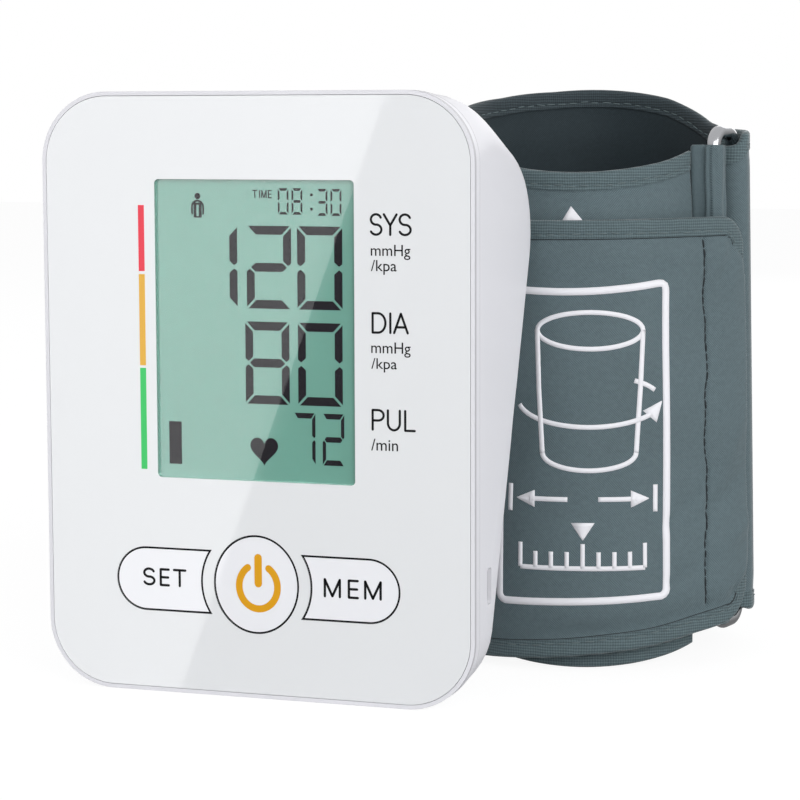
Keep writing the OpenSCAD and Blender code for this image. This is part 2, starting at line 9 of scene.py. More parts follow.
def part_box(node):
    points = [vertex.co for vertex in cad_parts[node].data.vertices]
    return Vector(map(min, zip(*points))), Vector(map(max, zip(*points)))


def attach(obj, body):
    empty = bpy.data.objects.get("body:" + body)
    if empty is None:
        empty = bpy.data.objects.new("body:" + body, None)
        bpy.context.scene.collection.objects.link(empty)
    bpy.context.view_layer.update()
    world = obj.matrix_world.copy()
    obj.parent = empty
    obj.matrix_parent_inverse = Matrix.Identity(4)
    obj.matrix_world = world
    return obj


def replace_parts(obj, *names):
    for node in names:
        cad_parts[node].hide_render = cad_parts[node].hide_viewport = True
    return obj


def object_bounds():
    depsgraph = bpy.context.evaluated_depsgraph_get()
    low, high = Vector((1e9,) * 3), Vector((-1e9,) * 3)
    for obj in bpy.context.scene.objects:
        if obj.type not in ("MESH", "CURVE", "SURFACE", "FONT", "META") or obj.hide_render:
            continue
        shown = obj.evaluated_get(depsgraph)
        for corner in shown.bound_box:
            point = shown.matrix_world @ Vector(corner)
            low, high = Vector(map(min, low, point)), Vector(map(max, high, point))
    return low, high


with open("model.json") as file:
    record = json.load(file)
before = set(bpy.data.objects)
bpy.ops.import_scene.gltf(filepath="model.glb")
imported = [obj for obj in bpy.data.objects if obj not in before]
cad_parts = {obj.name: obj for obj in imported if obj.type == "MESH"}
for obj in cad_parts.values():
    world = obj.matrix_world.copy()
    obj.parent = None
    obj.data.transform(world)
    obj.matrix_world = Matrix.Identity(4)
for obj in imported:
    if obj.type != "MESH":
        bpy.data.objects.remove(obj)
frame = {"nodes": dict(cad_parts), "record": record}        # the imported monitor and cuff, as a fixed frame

cadLow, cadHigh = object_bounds()
scene = bpy.context.scene
mm = 0.001


def tone(red, green, blue, alpha=1.0):
    # a colour read as 0 to 255 on screen, turned into Blender's linear values
    def linear(c):
        c = c / 255
        return c / 12.92 if c <= 0.04045 else ((c + 0.055) / 1.055) ** 2.4
    return (linear(red), linear(green), linear(blue), alpha)


def addObject(name, data):
    thing = bpy.data.objects.new(name, data)
    scene.collection.objects.link(thing)
    return thing


# camera, fitted to the monitor's face
cameraSetup = {
    "place": (220.18, -548.46, 135.31),  # mm from the middle of the front cover's lower edge
    "azimuth": 18.70,
    "elevation": 6.38,
    "roll": -0.178,
    "lens": 116.195,
    "sensor": 36,
    "clip": (0.02, 20),
}


def addCamera(setup):
    data = bpy.data.cameras.new("mainCamera")
    data.lens = setup["lens"]
    data.sensor_width = setup["sensor"]
    data.clip_start, data.clip_end = setup["clip"]
    azimuth, elevation = math.radians(setup["azimuth"]), math.radians(setup["elevation"])
    forward = Vector((-math.sin(azimuth) * math.cos(elevation),
                      math.cos(azimuth) * math.cos(elevation), -math.sin(elevation)))
    turn = forward.to_track_quat("-Z", "Y").to_matrix()
    turn = turn @ Matrix.Rotation(math.radians(setup["roll"]), 3, "Z")
    camera = addObject("mainCamera", data)
    camera.matrix_world = Matrix.Translation(Vector(setup["place"]) * mm) @ turn.to_4x4()
    scene.camera = camera
    return camera


camera = addCamera(cameraSetup)
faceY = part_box("front_cover")[0].y / mm

# lamps: one is mirrored in the face as a veil with a slanting edge, the others are soft
glossLamp = {
    "edgeTop": (31.9, 138.7),  # where the lamp's edge is mirrored in the face, mm across and up
    "edgeBottom": (-18.8, 2.0),
    "distance": 900,  # of the lamp in front of the face
    "size": (300, 640),
    "power": 1.15,
}
softLamps = [
    {"name": "keyLamp", "place": (0.8, -1.15, 0.6), "size": 0.8, "power": 8.5, "mirrored": True},
    {"name": "rightLamp", "place": (1.35, -0.4, 0.5), "size": 0.7, "power": 7.0, "mirrored": True},
    {"name": "leftLamp", "place": (-0.9, -0.9, 0.7), "size": 0.8, "power": 2.0, "mirrored": False},
    {"name": "backLamp", "place": (0.2, 1.3, 0.6), "size": 0.8, "power": 2.5, "mirrored": True},
]
target = (cadLow + cadHigh) / 2


def addAreaLamp(name, matrix, width, height, power):
    data = bpy.data.lights.new(name, "AREA")
    data.shape = "RECTANGLE"
    data.size, data.size_y = width, height
    data.energy = power
    lamp = addObject(name, data)
    lamp.matrix_world = matrix
    return lamp


def mirroredPoint(spot, distance):
    # where the camera's view of a spot on the face lands after the glossy face has mirrored it
    point = Vector((spot[0], faceY, spot[1])) * mm
    ray = point - camera.matrix_world.translation
    ray.y = -ray.y
    return point + ray * (distance * mm / abs(ray.y))


def addGlossLamp(setup):
    width, height = (side * mm for side in setup["size"])
    top = mirroredPoint(setup["edgeTop"], setup["distance"])
    bottom = mirroredPoint(setup["edgeBottom"], setup["distance"])
    up = (top - bottom).normalized()
    shine = Vector((0, 1, 0))  # the way the lamp faces
    across = up.cross(-shine).normalized()
    if across.x < 0:
        across = -across
    middle = (top + bottom) / 2 - across * width / 2
    turn = Matrix((across, up, -shine)).transposed().to_4x4()
    addAreaLamp("glossLamp", Matrix.Translation(middle) @ turn, width, height, setup["power"])


addGlossLamp(glossLamp)
for setup in softLamps:
    place = Vector(setup["place"])
    turn = (target - place).to_track_quat("-Z", "Y").to_matrix().to_4x4()
    lamp = addAreaLamp(setup["name"], Matrix.Translation(place) @ turn, setup["size"], setup["size"],
                       setup["power"])
    lamp.visible_glossy = setup["mirrored"]


# node helpers
def startNodes(owner):
    owner.use_nodes = True
    owner.node_tree.nodes.clear()
    return owner.node_tree


def addNode(tree, kind, inputs=None, **settings):
    # a shader node; each input is given a value, or a socket to link to
    node = tree.nodes.new("ShaderNode" + kind)
    for name, value in settings.items():
        setattr(node, name, value)
    for label, value in (inputs or {}).items():
        if isinstance(value, bpy.types.NodeSocket):
            tree.links.new(value, node.inputs[label])
        else:
            node.inputs[label].default_value = value
    return node


def addMath(tree, operation, *values):
    return addNode(tree, "Math", dict(enumerate(values)), operation=operation).outputs[0]


def mathsIn(tree):
    # the four sums used most, as short functions
    def makeSum(operation):
        return lambda *values: addMath(tree, operation, *values)
    return [makeSum(operation) for operation in ("ADD", "SUBTRACT", "MULTIPLY", "MULTIPLY_ADD")]


def joinRays(tree, path, names):
    total = path.outputs[names[0]]
    for name in names[1:]:
        total = addMath(tree, "MAXIMUM", total, path.outputs[name])
    return total


roomLight = {
    "strength": 0.42,  # for diffuse light
    "heights": (-0.35, 0.6),  # between these, mirrored rays see the room get lighter
    "shades": (0.3, 0.95),
}
floorLook = {"colour": (0.75, 0.75, 0.76, 1), "glow": 1.12, "glowShare": 0.82, "reach": 3.0, "level": -0.0001}


def addWorld(light):
    # white behind the object, softer for diffuse light, and shaded from low to high for mirrored rays
    scene.world = bpy.data.worlds.new("paleRoom")
    tree = startNodes(scene.world)
    plus, minus, times, timesPlus = mathsIn(tree)
    path = addNode(tree, "LightPath")
    mirrored = joinRays(tree, path, ("Is Glossy Ray", "Is Transmission Ray"))
    way = addNode(tree, "TexCoord").outputs["Generated"]
    ranges = zip(("From Min", "From Max", "To Min", "To Max"), light["heights"] + light["shades"])
    height = addNode(tree, "SeparateXYZ", {0: way}).outputs["Z"]
    shade = addNode(tree, "MapRange", {"Value": height, **dict(ranges)},
                    interpolation_type="SMOOTHSTEP").outputs["Result"]
    level = timesPlus(path.outputs["Is Camera Ray"], 1 - light["strength"], light["strength"])
    level = plus(level, times(mirrored, minus(shade, level)))
    back = addNode(tree, "Background", {"Color": (1, 1, 1, 1), "Strength": level})
    addNode(tree, "OutputWorld", {0: back.outputs[0]})


def addStage(look):
    mat = bpy.data.materials.new("paleFloor")
    tree = startNodes(mat)
    rays = ("Is Camera Ray", "Is Glossy Ray", "Is Transmission Ray")
    seen = joinRays(tree, addNode(tree, "LightPath"), rays)
    share = addMath(tree, "MULTIPLY", seen, look["glowShare"])
    matt = addNode(tree, "BsdfDiffuse", {"Color": look["colour"]})
    glow = addNode(tree, "Emission", {"Strength": look["glow"]})
    mix = addNode(tree, "MixShader", {"Fac": share, 1: matt.outputs[0], 2: glow.outputs[0]})
    addNode(tree, "OutputMaterial", {"Surface": mix.outputs[0]})
    mesh = bpy.data.meshes.new("floor")
    reach, level = look["reach"], look["level"]
    corners = [(-reach, -reach, level), (reach, -reach, level), (reach, reach, level), (-reach, reach, level)]
    mesh.from_pydata(corners, [], [(0, 1, 2, 3)])
    mesh.materials.append(mat)
    floor = addObject("floor", mesh)
    floor.visible_glossy = False  # the face mirrors the room in front, and not the table
    floor.visible_transmission = False


addWorld(roomLight)
addStage(floorLook)
scene.view_settings.view_transform = "Standard"
print("camera, lamps and floor are in place")


# shader groups
def newGroup(name, floats):
    # takes a colour and some floats; gives a colour, a roughness and a height
    tree = bpy.data.node_groups.new(name, "ShaderNodeTree")
    tree.interface.new_socket("Colour", in_out="INPUT", socket_type="NodeSocketColor")
    for label, value in floats.items():
        socket = tree.interface.new_socket(label, in_out="INPUT", socket_type="NodeSocketFloat")
        socket.default_value = value
    for label, kind in (("Colour", "Color"), ("Roughness", "Float"), ("Height", "Float")):
        tree.interface.new_socket(label, in_out="OUTPUT", socket_type="NodeSocket" + kind)
    given, made = tree.nodes.new("NodeGroupInput"), tree.nodes.new("NodeGroupOutput")

    def give(factor, roughness, height):
        # the colour is the given one times a factor that varies over the surface
        scaled = addNode(tree, "VectorMath", {0: given.outputs["Colour"], "Scale": factor}, operation="SCALE")
        tree.links.new(scaled.outputs["Vector"], made.inputs["Colour"])
        tree.links.new(roughness, made.inputs["Roughness"])
        tree.links.new(height, made.inputs["Height"])
        return tree
    return tree, given.outputs, give


def addNoise(tree, vector, scale, detail=3.0, roughness=0.55):
    inputs = {"Detail": detail, "Roughness": roughness, "Vector": vector, "Scale": scale}
    return addNode(tree, "TexNoise", inputs).outputs["Fac"]


def makeMouldedGroup():
    tree, given, give = newGroup("mouldedSurface", {
        "Tone Spread": 0.03, "Grain Scale": 2500.0, "Roughness": 0.4, "Roughness Spread": 0.08,
        "Edge Wear": 0.1})
    plus, minus, times, timesPlus = mathsIn(tree)
    place = addNode(tree, "TexCoord").outputs["Object"]
    broad = addNoise(tree, place, 22.0, 2.0)
    fine = addNoise(tree, place, given["Grain Scale"], 2.0)
    edge = addNode(tree, "NewGeometry").outputs["Pointiness"]
    worn = addMath(tree, "MAXIMUM", times(minus(edge, 0.52), 6.0), 0.0)
    worn = times(addMath(tree, "MINIMUM", worn, 1.0), given["Edge Wear"])
    swing = times(minus(broad, 0.5), given["Tone Spread"])
    rough = times(minus(fine, 0.5), given["Roughness Spread"])
    return give(plus(plus(swing, 1.0), worn), plus(plus(rough, given["Roughness"]), worn), fine)


def makeWeaveGroup():
    # two families of thread ridges, each with its own pitch and slant, laid out by the cloth's own map
    tree, given, give = newGroup("threadWeave", {
        "Pitch": 0.0006, "Slant": 0.8, "Cross Pitch": 0.0004, "Cross Slant": -0.8, "Contrast": 0.5,
        "Wear": 0.15})
    plus, minus, times, timesPlus = mathsIn(tree)
    place = addNode(tree, "UVMap", uv_map="cloth").outputs["UV"]
    waver = addNode(tree, "TexNoise", {"Scale": 160.0, "Vector": place}).outputs["Fac"]
    parts = addNode(tree, "SeparateXYZ", {0: place}).outputs

    def ridges(pitch, slant):
        across = times(parts["X"], addMath(tree, "COSINE", slant))
        up = times(parts["Y"], addMath(tree, "SINE", slant))
        run = timesPlus(waver, 0.0006, plus(across, up))
        turns = times(addMath(tree, "DIVIDE", run, pitch), 2 * math.pi)
        return timesPlus(addMath(tree, "SINE", turns), 0.5, 0.5)

    first = ridges(given["Pitch"], given["Slant"])
    second = ridges(given["Cross Pitch"], given["Cross Slant"])
    height = timesPlus(second, 0.4, times(first, 0.6))
    swing = times(minus(height, 0.5), given["Contrast"])
    faded = times(minus(addNoise(tree, place, 45.0, 4.0), 0.5), given["Wear"])
    speck = times(minus(addNoise(tree, place, 900.0, 2.0), 0.5), 0.35)
    return give(plus(plus(swing, 1.0), plus(faded, speck)), timesPlus(height, -0.18, 0.85), height)


def makeMetalGroup():
    tree, given, give = newGroup("drawnMetal", {"Roughness": 0.2, "Line Scale": 4000.0, "Line Depth": 0.15})
    plus, minus, times, timesPlus = mathsIn(tree)
    place = addNode(tree, "TexCoord").outputs["Object"]
    stretched = addNode(tree, "Mapping", {"Scale": (1.0, 1.0, 0.04), "Vector": place}).outputs[0]
    lines = addNoise(tree, stretched, given["Line Scale"], 2.0)
    smear = addNoise(tree, place, 90.0, 3.0)
    swing = times(minus(lines, 0.5), given["Line Depth"])
    rough = plus(timesPlus(smear, 0.1, given["Roughness"]), swing)
    return give(plus(timesPlus(smear, 0.12, 0.94), swing), rough, lines)


mouldedGroup = makeMouldedGroup()
weaveGroup = makeWeaveGroup()
metalGroup = makeMetalGroup()
print("shader groups are made")


# materials
def makeMaterial(name, group, values, settings=None, bump=(0.1, 0.00005)):
    # group values feed colour, roughness and bump; settings go straight on the shader's own sockets
    mat = bpy.data.materials.new(name)
    tree = startNodes(mat)
    look = addNode(tree, "Group", values, node_tree=group).outputs
    inputs = {"Base Color": look["Colour"], "Roughness": look["Roughness"], **(settings or {})}
    if bump:
        relief = {"Strength": bump[0], "Distance": bump[1], "Height": look["Height"]}
        inputs["Normal"] = addNode(tree, "Bump", relief).outputs[0]
    shader = addNode(tree, "BsdfPrincipled", inputs)
    addNode(tree, "OutputMaterial", {"Surface": shader.outputs[0]})
    return mat


def makeMoulded(name, colour, roughness, settings=None, bump=(0.1, 0.00005), grain=2500.0, shades=0.03,
                spread=0.08, wear=0.1):
    values = {"Colour": colour, "Grain Scale": grain, "Tone Spread": shades, "Roughness": roughness,
              "Roughness Spread": spread, "Edge Wear": wear}
    return makeMaterial(name, mouldedGroup, values, settings, bump)


def makeGlossy(name, hues, shades):
    coat = {"Coat Weight": 0.3, "Coat Roughness": 0.01, "IOR": 1.49}
    return makeMoulded(name, tone(*hues), 0.03, coat, (0.01, 0.00002), 900.0, shades, 0.02, 0.0)


def makeCloth(name, hues, weave, contrast, wear, settings, bump):
    values = {"Colour": tone(*hues), "Contrast": contrast, "Wear": wear, **weave}
    return makeMaterial(name, weaveGroup, values, settings, bump)


def makeInk(name, hues, roughness=0.35, shine=0.5):
    return makeMoulded(name, tone(*hues), roughness, {"Specular IOR Level": shine}, (0.05, 0.00002),
                       grain=3000.0, shades=0.06, wear=0.0)


def passShadows(mat):
    # lets lamps shine through clear plastic
    tree = mat.node_tree
    byType = {n.type: n for n in tree.nodes}
    out, shader = byType["OUTPUT_MATERIAL"], byType["BSDF_PRINCIPLED"]
    shadow = addNode(tree, "LightPath").outputs["Is Shadow Ray"]
    clear = addNode(tree, "BsdfTransparent")
    mix = addNode(tree, "MixShader", {"Fac": shadow, 1: shader.outputs[0], 2: clear.outputs[0]})
    tree.links.new(mix.outputs[0], out.inputs["Surface"])


twill = {"Pitch": 0.00042, "Slant": 0.72, "Cross Pitch": 0.00036, "Cross Slant": -0.85}
ribbed = {"Pitch": 0.0007, "Slant": math.pi / 2, "Cross Pitch": 0.0006, "Cross Slant": 0.0}
milky = {"Subsurface Weight": 0.1}
metal = {"Metallic": 1.0}
materials = {
    "case_white": makeMoulded("mouldedCase", tone(228, 228, 233), 0.42, {"Specular IOR Level": 0.5},
                              (0.12, 0.00006), grain=3800.0, shades=0.02, wear=0.04),
    "panel_gloss": makeGlossy("glossPanel", (233, 235, 237), 0.015),
    "window_clear": makeMoulded("clearWindow", (0.97, 0.99, 0.98, 1), 0.0,
                                {"Transmission Weight": 1.0, "IOR": 1.3}, None, 900.0, 0.01, 0.0, 0.0),
    "lcd": makeMoulded("displayGlass", tone(97, 147, 134), 0.05, {"Specular IOR Level": 0.85},
                       (0.01, 0.00001), 5000.0, 0.06, 0.02, 0.0),
    "light_guide": makeMoulded("milkyGuide", tone(225, 238, 230), 0.3, milky),
    "inner_plastic": makeMoulded("innerPlastic", tone(205, 206, 208), 0.5),
    "board": makeMoulded("solderMask", tone(28, 110, 66), 0.3, grain=1500.0, shades=0.2),
    "steel": makeMaterial("stampedSteel", metalGroup, {"Colour": tone(200, 200, 202), "Roughness": 0.22},
                          metal, (0.1, 0.00003)),
    "chrome_wire": makeMaterial("polishedWire", metalGroup, {"Colour": tone(172, 173, 176), "Roughness": 0.11,
                                "Line Depth": 0.05}, metal, (0.05, 0.00002)),
    "dark_plastic": makeMoulded("darkPlastic", tone(38, 38, 40), 0.45, shades=0.15),
    "cell_skin": makeMoulded("cellSkin", tone(70, 108, 150), 0.25, {"Metallic": 0.4}, shades=0.1),
    "rubber_grey": makeMoulded("footRubber", tone(88, 89, 92), 0.75, grain=1800.0, shades=0.12),
    "silicone": makeMoulded("siliconeTube", tone(200, 200, 196), 0.45, milky),
    "bladder_film": makeMoulded("bladderFilm", tone(110, 112, 108), 0.4, grain=700.0),
    "loop_cloth": makeMoulded("loopPile", tone(52, 62, 66), 0.95, bump=(0.9, 0.0006), grain=1400.0, shades=0.6),
    "hook_tape": makeMoulded("hookTape", tone(60, 68, 72), 0.7, bump=(0.8, 0.0005), grain=2200.0, shades=0.4),
    "cuff_cloth": makeCloth("cuffTwill", (86, 102, 107), twill, 0.7, 0.28,
        {"Sheen Weight": 0.25, "Sheen Roughness": 0.4, "Specular IOR Level": 0.35}, (0.55, 0.00012)),
}
hemTape = makeCloth("hemTape", (82, 98, 102), ribbed, 0.8, 0.3,
    {"Sheen Weight": 0.3, "Sheen Roughness": 0.4, "Specular IOR Level": 0.35}, (0.7, 0.00016))
# the band's inner face: a darker lining cloth and tape, whose colours also carry painted shade for the inside of
# the roll
shadedLiningCloth = makeCloth("shadedLiningCloth", (38, 49, 54), twill, 0.6, 0.3,
    {"Sheen Weight": 0.1, "Specular IOR Level": 0.25}, (0.5, 0.00012))
shadedLiningTape = makeCloth("shadedLiningTape", (53, 64, 69), ribbed, 0.8, 0.3,
    {"Sheen Weight": 0.15, "Specular IOR Level": 0.3}, (0.7, 0.00016))
passShadows(materials["window_clear"])

inks = {
    "black": makeInk("blackInk", (14, 14, 17), 0.4, 0.2),
    "segment": makeInk("segmentBlack", (26, 22, 29), 0.6, 0.0),
    "gold": makeInk("goldInk", (224, 160, 6), 0.4, 0.3),
    "red": makeInk("redInk", (240, 58, 78)),
    "yellow": makeInk("yellowInk", (236, 182, 66)),
    "green": makeInk("greenInk", (58, 206, 106)),
    "white": makeInk("whiteInk", (232, 232, 237), 0.6),
    "thread": makeInk("hemThread", (98, 112, 115), 0.8),
    # dark seam thread, also used for the painted shade along the hem tapes' inner edges
    "darkThreadAndShade": makeInk("seamThreadAndHemShade", (30, 37, 41), 0.8),
}

nodeSlots = {s["node"]: s["material_slot"] for s in frame["record"]["subparts"]}
keyWhite = makeGlossy("glossKey", (242, 243, 247), 0.01)
for nodeName, node in frame["nodes"].items():
    isKey = nodeName in ("power_button", "set_button", "mem_button")
    node.data.materials.clear()
    node.data.materials.append(keyWhite if isKey else materials[nodeSlots[nodeName]])
print("materials are on every CAD node")


# mesh helpers, in mm
def addPiece(name, points, faces, material, body, slot=None, smooth=True):
    mesh = bpy.data.meshes.new(name)
    mesh.from_pydata([tuple(c * mm for c in p) for p in points], [], faces)
    for extra in material if isinstance(material, list) else [material]:
        mesh.materials.append(extra)
    for face in mesh.polygons:
        face.use_smooth = smooth
    mesh.validate()
    piece = addObject(name, mesh)
    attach(piece, body)
    return piece


def slabs(outlines, front, thick):
    # closed flat slabs from outlines across and up, standing parallel to the face
    points, faces = [], []
    for outline in outlines:
        area = sum(a[0] * b[1] - b[0] * a[1] for a, b in zip(outline, outline[1:] + outline[:1]))
        ring = outline if area > 0 else outline[::-1]
        base, count = len(points), len(ring)
        points += [(x, front, z) for x, z in ring]
        points += [(x, front + thick, z) for x, z in ring]
        faces.append(list(range(base, base + count)))
        faces.append(list(range(base + 2 * count - 1, base + count - 1, -1)))
        for i in range(count):
            j = (i + 1) % count
            faces.append((base + j, base + i, base + count + i, base + count + j))
    return points, faces


def arc(cx, cz, rx, rz, start, end, steps):
    turns = [math.radians(start + (end - start) * i / steps) for i in range(steps + 1)]
    return [(cx + rx * math.cos(t), cz + rz * math.sin(t)) for t in turns]


def stroke(line, width, capSteps=6):
    # outline of a drawn line with round ends
    half = width / 2
    left, right = [], []
    for i, (x, z) in enumerate(line):
        x0, z0 = line[max(i - 1, 0)]
        x1, z1 = line[min(i + 1, len(line) - 1)]
        run = math.hypot(x1 - x0, z1 - z0)
        nx, nz = -(z1 - z0) / run, (x1 - x0) / run
        left.append((x + nx * half, z + nz * half))
        right.append((x - nx * half, z - nz * half))

    def cap(centre, edge, turn):
        start = math.degrees(math.atan2(edge[1] - centre[1], edge[0] - centre[0]))
        return arc(*centre, half, half, start, start + turn, capSteps)[1:-1]

    return left + cap(line[-1], left[-1], -180) + right[::-1] + cap(line[0], right[0], -180)


inkLift = 0.03  # printed layers stand this far out of what they are printed on, mm


def printOnFace(name, outlines, ink, body="monitor", slot=None):
    points, faces = slabs(outlines, faceY - inkLift, inkLift)
    return addPiece(name, points, faces, ink, body, slot, smooth=False)


def box2d(left, right, low, top):
    return [(left, low), (right, low), (right, top), (left, top)]


# legends on the face
def letterLines(letter):
    # centre lines of a plain capital in a box of 1 by 1
    bowls = {
        "S": [arc(0.5, 0.745, 0.47, 0.255, 22, 270, 16) + arc(0.5, 0.25, 0.5, 0.25, 90, -157, 16)[1:]],
        "D": [[(0, 1), (0.42, 1)] + arc(0.42, 0.5, 0.58, 0.5, 90, -90, 16)[1:] + [(0, 0)], [(0, 0), (0, 1)]],
        "P": [[(0, 1), (0.5, 1)] + arc(0.5, 0.735, 0.5, 0.265, 90, -90, 12)[1:] + [(0, 0.47)], [(0, 0), (0, 1)]],
        "U": [[(0, 1), (0, 0.36)] + arc(0.5, 0.36, 0.5, 0.36, 180, 360, 14)[1:] + [(1, 1)]],
    }
    bars = {
        "Y": [(0, 1, 0.5, 0.46), (1, 1, 0.5, 0.46), (0.5, 0.46, 0.5, 0)],
        "I": [(0.5, 0, 0.5, 1)],
        "A": [(0, 0, 0.5, 1), (0.5, 1, 1, 0), (0.17, 0.3, 0.83, 0.3)],
        "L": [(0, 1, 0, 0), (0, 0, 1, 0)],
        "E": [(0, 0, 0, 1), (0, 1, 1, 1), (0, 0.5, 0.93, 0.5), (0, 0, 1, 0)],
        "T": [(0, 1, 1, 1), (0.5, 1, 0.5, 0)],
        "M": [(0, 0, 0, 1), (0, 1, 0.5, 0.02), (0.5, 0.02, 1, 1), (1, 1, 1, 0)],
    }
    if letter in bowls:
        return bowls[letter]
    return [[(a, b), ((a + c) / 2, (b + d) / 2), (c, d)] for a, b, c, d in bars[letter]]


def wordOutlines(word, left, right, low, top, width):
    # word: letters with the share of the word's width at which each starts and ends
    outlines, half, high = [], width / 2, top - low - width
    for letter, start, end in word:
        a, b = left + (right - left) * start + half, left + (right - left) * end - half
        for line in letterLines(letter):
            outlines.append(stroke([(a + (b - a) * x, low + half + high * z) for x, z in line], width, 4))
    return outlines


unitFont = {"size": 10, "offset": 0.02, "extrude": 0.5, "resolution_u": 6}


def addUnit(name, text, left, right, low, top):
    # a word in Blender's own font, set to fill its place on the face, mm across and up
    curve = bpy.data.curves.new(name, "FONT")
    curve.body = text
    for setting, value in unitFont.items():
        setattr(curve, setting, value)
    rough = addObject(name + "Outline", curve)
    bpy.context.view_layer.update()
    mesh = bpy.data.meshes.new_from_object(rough.evaluated_get(bpy.context.evaluated_depsgraph_get()))
    bpy.data.objects.remove(rough)
    corners = np.array([v.co for v in mesh.vertices])
    lowest, highest = corners.min(0), corners.max(0)
    sx, sz = (right - left) / (highest[0] - lowest[0]), (top - low) / (highest[1] - lowest[1])
    for v in mesh.vertices:
        front = faceY - inkLift if v.co.z > 0 else faceY
        v.co = Vector((left + (v.co.x - lowest[0]) * sx, front, low + (v.co.y - lowest[1]) * sz)) * mm
    mesh.materials.clear()
    mesh.materials.append(inks["black"])
    mesh.name = name
    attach(addObject(name, mesh), "monitor")


words = [  # name, body, stroke, place (left, right, low, top), letters with their shares of the width
    ("legendSys", "monitor", 0.54, (28.1, 38.1, 107.6, 112.7),
     (("S", 0, 0.31), ("Y", 0.315, 0.67), ("S", 0.68, 1))),
    ("legendDia", "monitor", 0.54, (28.4, 37.35, 85.6, 90.5),
     (("D", 0.01, 0.41), ("I", 0.48, 0.54), ("A", 0.58, 1))),
    ("legendPul", "monitor", 0.54, (28.4, 38.95, 63.6, 68.6),
     (("P", 0, 0.3), ("U", 0.345, 0.665), ("L", 0.735, 1))),
    ("legendSet", "set_button", 0.58, (-28.6, -17.5, 25.0, 29.3),
     (("S", 0, 0.29), ("E", 0.385, 0.62), ("T", 0.69, 1))),
    ("legendMem", "mem_button", 0.58, (16.6, 30.7, 24.7, 29.2),
     (("M", 0, 0.3), ("E", 0.415, 0.608), ("M", 0.695, 1))),
]
units = [  # name, text, left, right, low, top
    ("unitSys", "mmHg", 28.4, 37.75, 102.3, 105.65),
    ("unitSysOther", "/kpa", 28.4, 34.5, 98.9, 102.2),
    ("unitDia", "mmHg", 28.4, 37.75, 80.4, 83.75),
    ("unitDiaOther", "/kpa", 28.4, 34.5, 76.9, 80.1),
    ("unitPul", "/min", 28.3, 34.7, 59.1, 61.8),
]
for name, body, width, place, letters in words:
    printOnFace(name, wordOutlines(letters, *place, width), inks["black"], body)
for unit in units:
    addUnit(*unit)

scaleBars = {"sides": (-28.55, -27.05), "red": (98.75, 114.0), "yellow": (76.85, 98.05),
             "green": (52.55, 76.25)}
for hue in ("red", "yellow", "green"):
    printOnFace(hue + "Bar", [box2d(*scaleBars["sides"], *scaleBars[hue])], inks[hue])

powerSign = {"x": 0.5, "z": 26.25, "rx": 4.75, "rz": 5.2, "width": 1.65, "gap": 33, "bar": 1.85,
             "barEnds": (27.0, 33.0)}


def addPowerSign(sign):
    x, (low, top) = sign["x"], sign["barEnds"]
    loop = arc(x, sign["z"], sign["rx"], sign["rz"], 90 + sign["gap"], 450 - sign["gap"], 48)
    bar = [(x, low), (x, (low + top) / 2), (x, top)]
    outlines = [stroke(loop, sign["width"]), stroke(bar, sign["bar"])]
    printOnFace("powerSign", outlines, inks["gold"], "power_button")


addPowerSign(powerSign)
print("legends, bars and key signs are printed")


# painted shade: dark sheets in the gaps round the keys with dark lines beside them, and painted shade lines on
# the covers
def ringSlab(outer, inner, front, thick):
    # a closed flat ring between two outlines of as many points
    points, faces, n = [], [], len(outer)
    for depth in (front, front + thick):
        for outline in (outer, inner):
            points += [(x, depth, z) for x, z in outline]
    for i in range(n):
        j = (i + 1) % n
        for a, b in ((0, 1), (1, 3), (3, 2), (2, 0)):
            faces.append((a * n + i, a * n + j, b * n + j, b * n + i))
    return points, faces


keys = {"z": 26.7, "half": 7.1, "reach": 34.7, "hollow": 13.85, "powerX": 10.1, "powerZ": 11.1, "gap": 0.35}
# painted shade: a dark sheet set in the gap round each key, and a black line on the face along the gap, stand in
# for the shade in the gaps
keyGapShade = {"clear": 0.02, "depth": 0.03, "thick": 0.5, "border": 0.12, "hues": (16, 18, 21)}


def powerOutline(grow):
    return arc(0, keys["z"], keys["powerX"] + grow, keys["powerZ"] + grow, 0, 355, 71)


def sideOutline(side, grow):
    # a bar with a round outer end and a hollow inner end
    half, hollow = keys["half"] + grow, keys["hollow"] - grow
    bite = math.degrees(math.asin(half / hollow))
    line = arc(keys["reach"] - keys["half"], keys["z"], half, half, -90, 90, 32)
    line += arc(0, keys["z"], hollow, hollow, bite, -bite, 32)
    return [(side * x, z) for x, z in line]


# the dark sheet and the black edge line round each key are painted shade for the key's gap
def addKeyGapShades():
    gapShade = makeInk("keyGapShadeInk", keyGapShade["hues"], 0.6, 0.1)
    low, high = keyGapShade["clear"], keys["gap"] - keyGapShade["clear"]
    for label, ring in (("power", powerOutline), ("set", lambda grow: sideOutline(-1, grow)),
                        ("mem", lambda grow: sideOutline(1, grow))):
        points, faces = ringSlab(ring(high), ring(low), faceY + keyGapShade["depth"], keyGapShade["thick"])
        addPiece(label + "KeyGapShade", points, faces, gapShade, "monitor", "rubber_grey", smooth=False)
        edge = ring(keys["gap"] + keyGapShade["border"]), ring(keys["gap"])
        addPiece(label + "KeyGapShadeEdge", *ringSlab(*edge, faceY - inkLift, inkLift), inks["black"], "monitor",
                 smooth=False)


caseOutline = {"wide": 105.5, "high": 140, "corner": 16.2, "lift": 0.04, "root": -0.2}
# painted shade: rimShade darkens the rounded edge of the front cover's rim, and the seam line darkens the groove
# between the front and rear covers
coverShadeLines = [  # name, depth range, colour of the painted shade line
    ("rimShade", (0.06, 1.2), (193, 192, 197)),
    ("coverSeamShade", (3.76, 3.99), (205, 204, 208)),
]


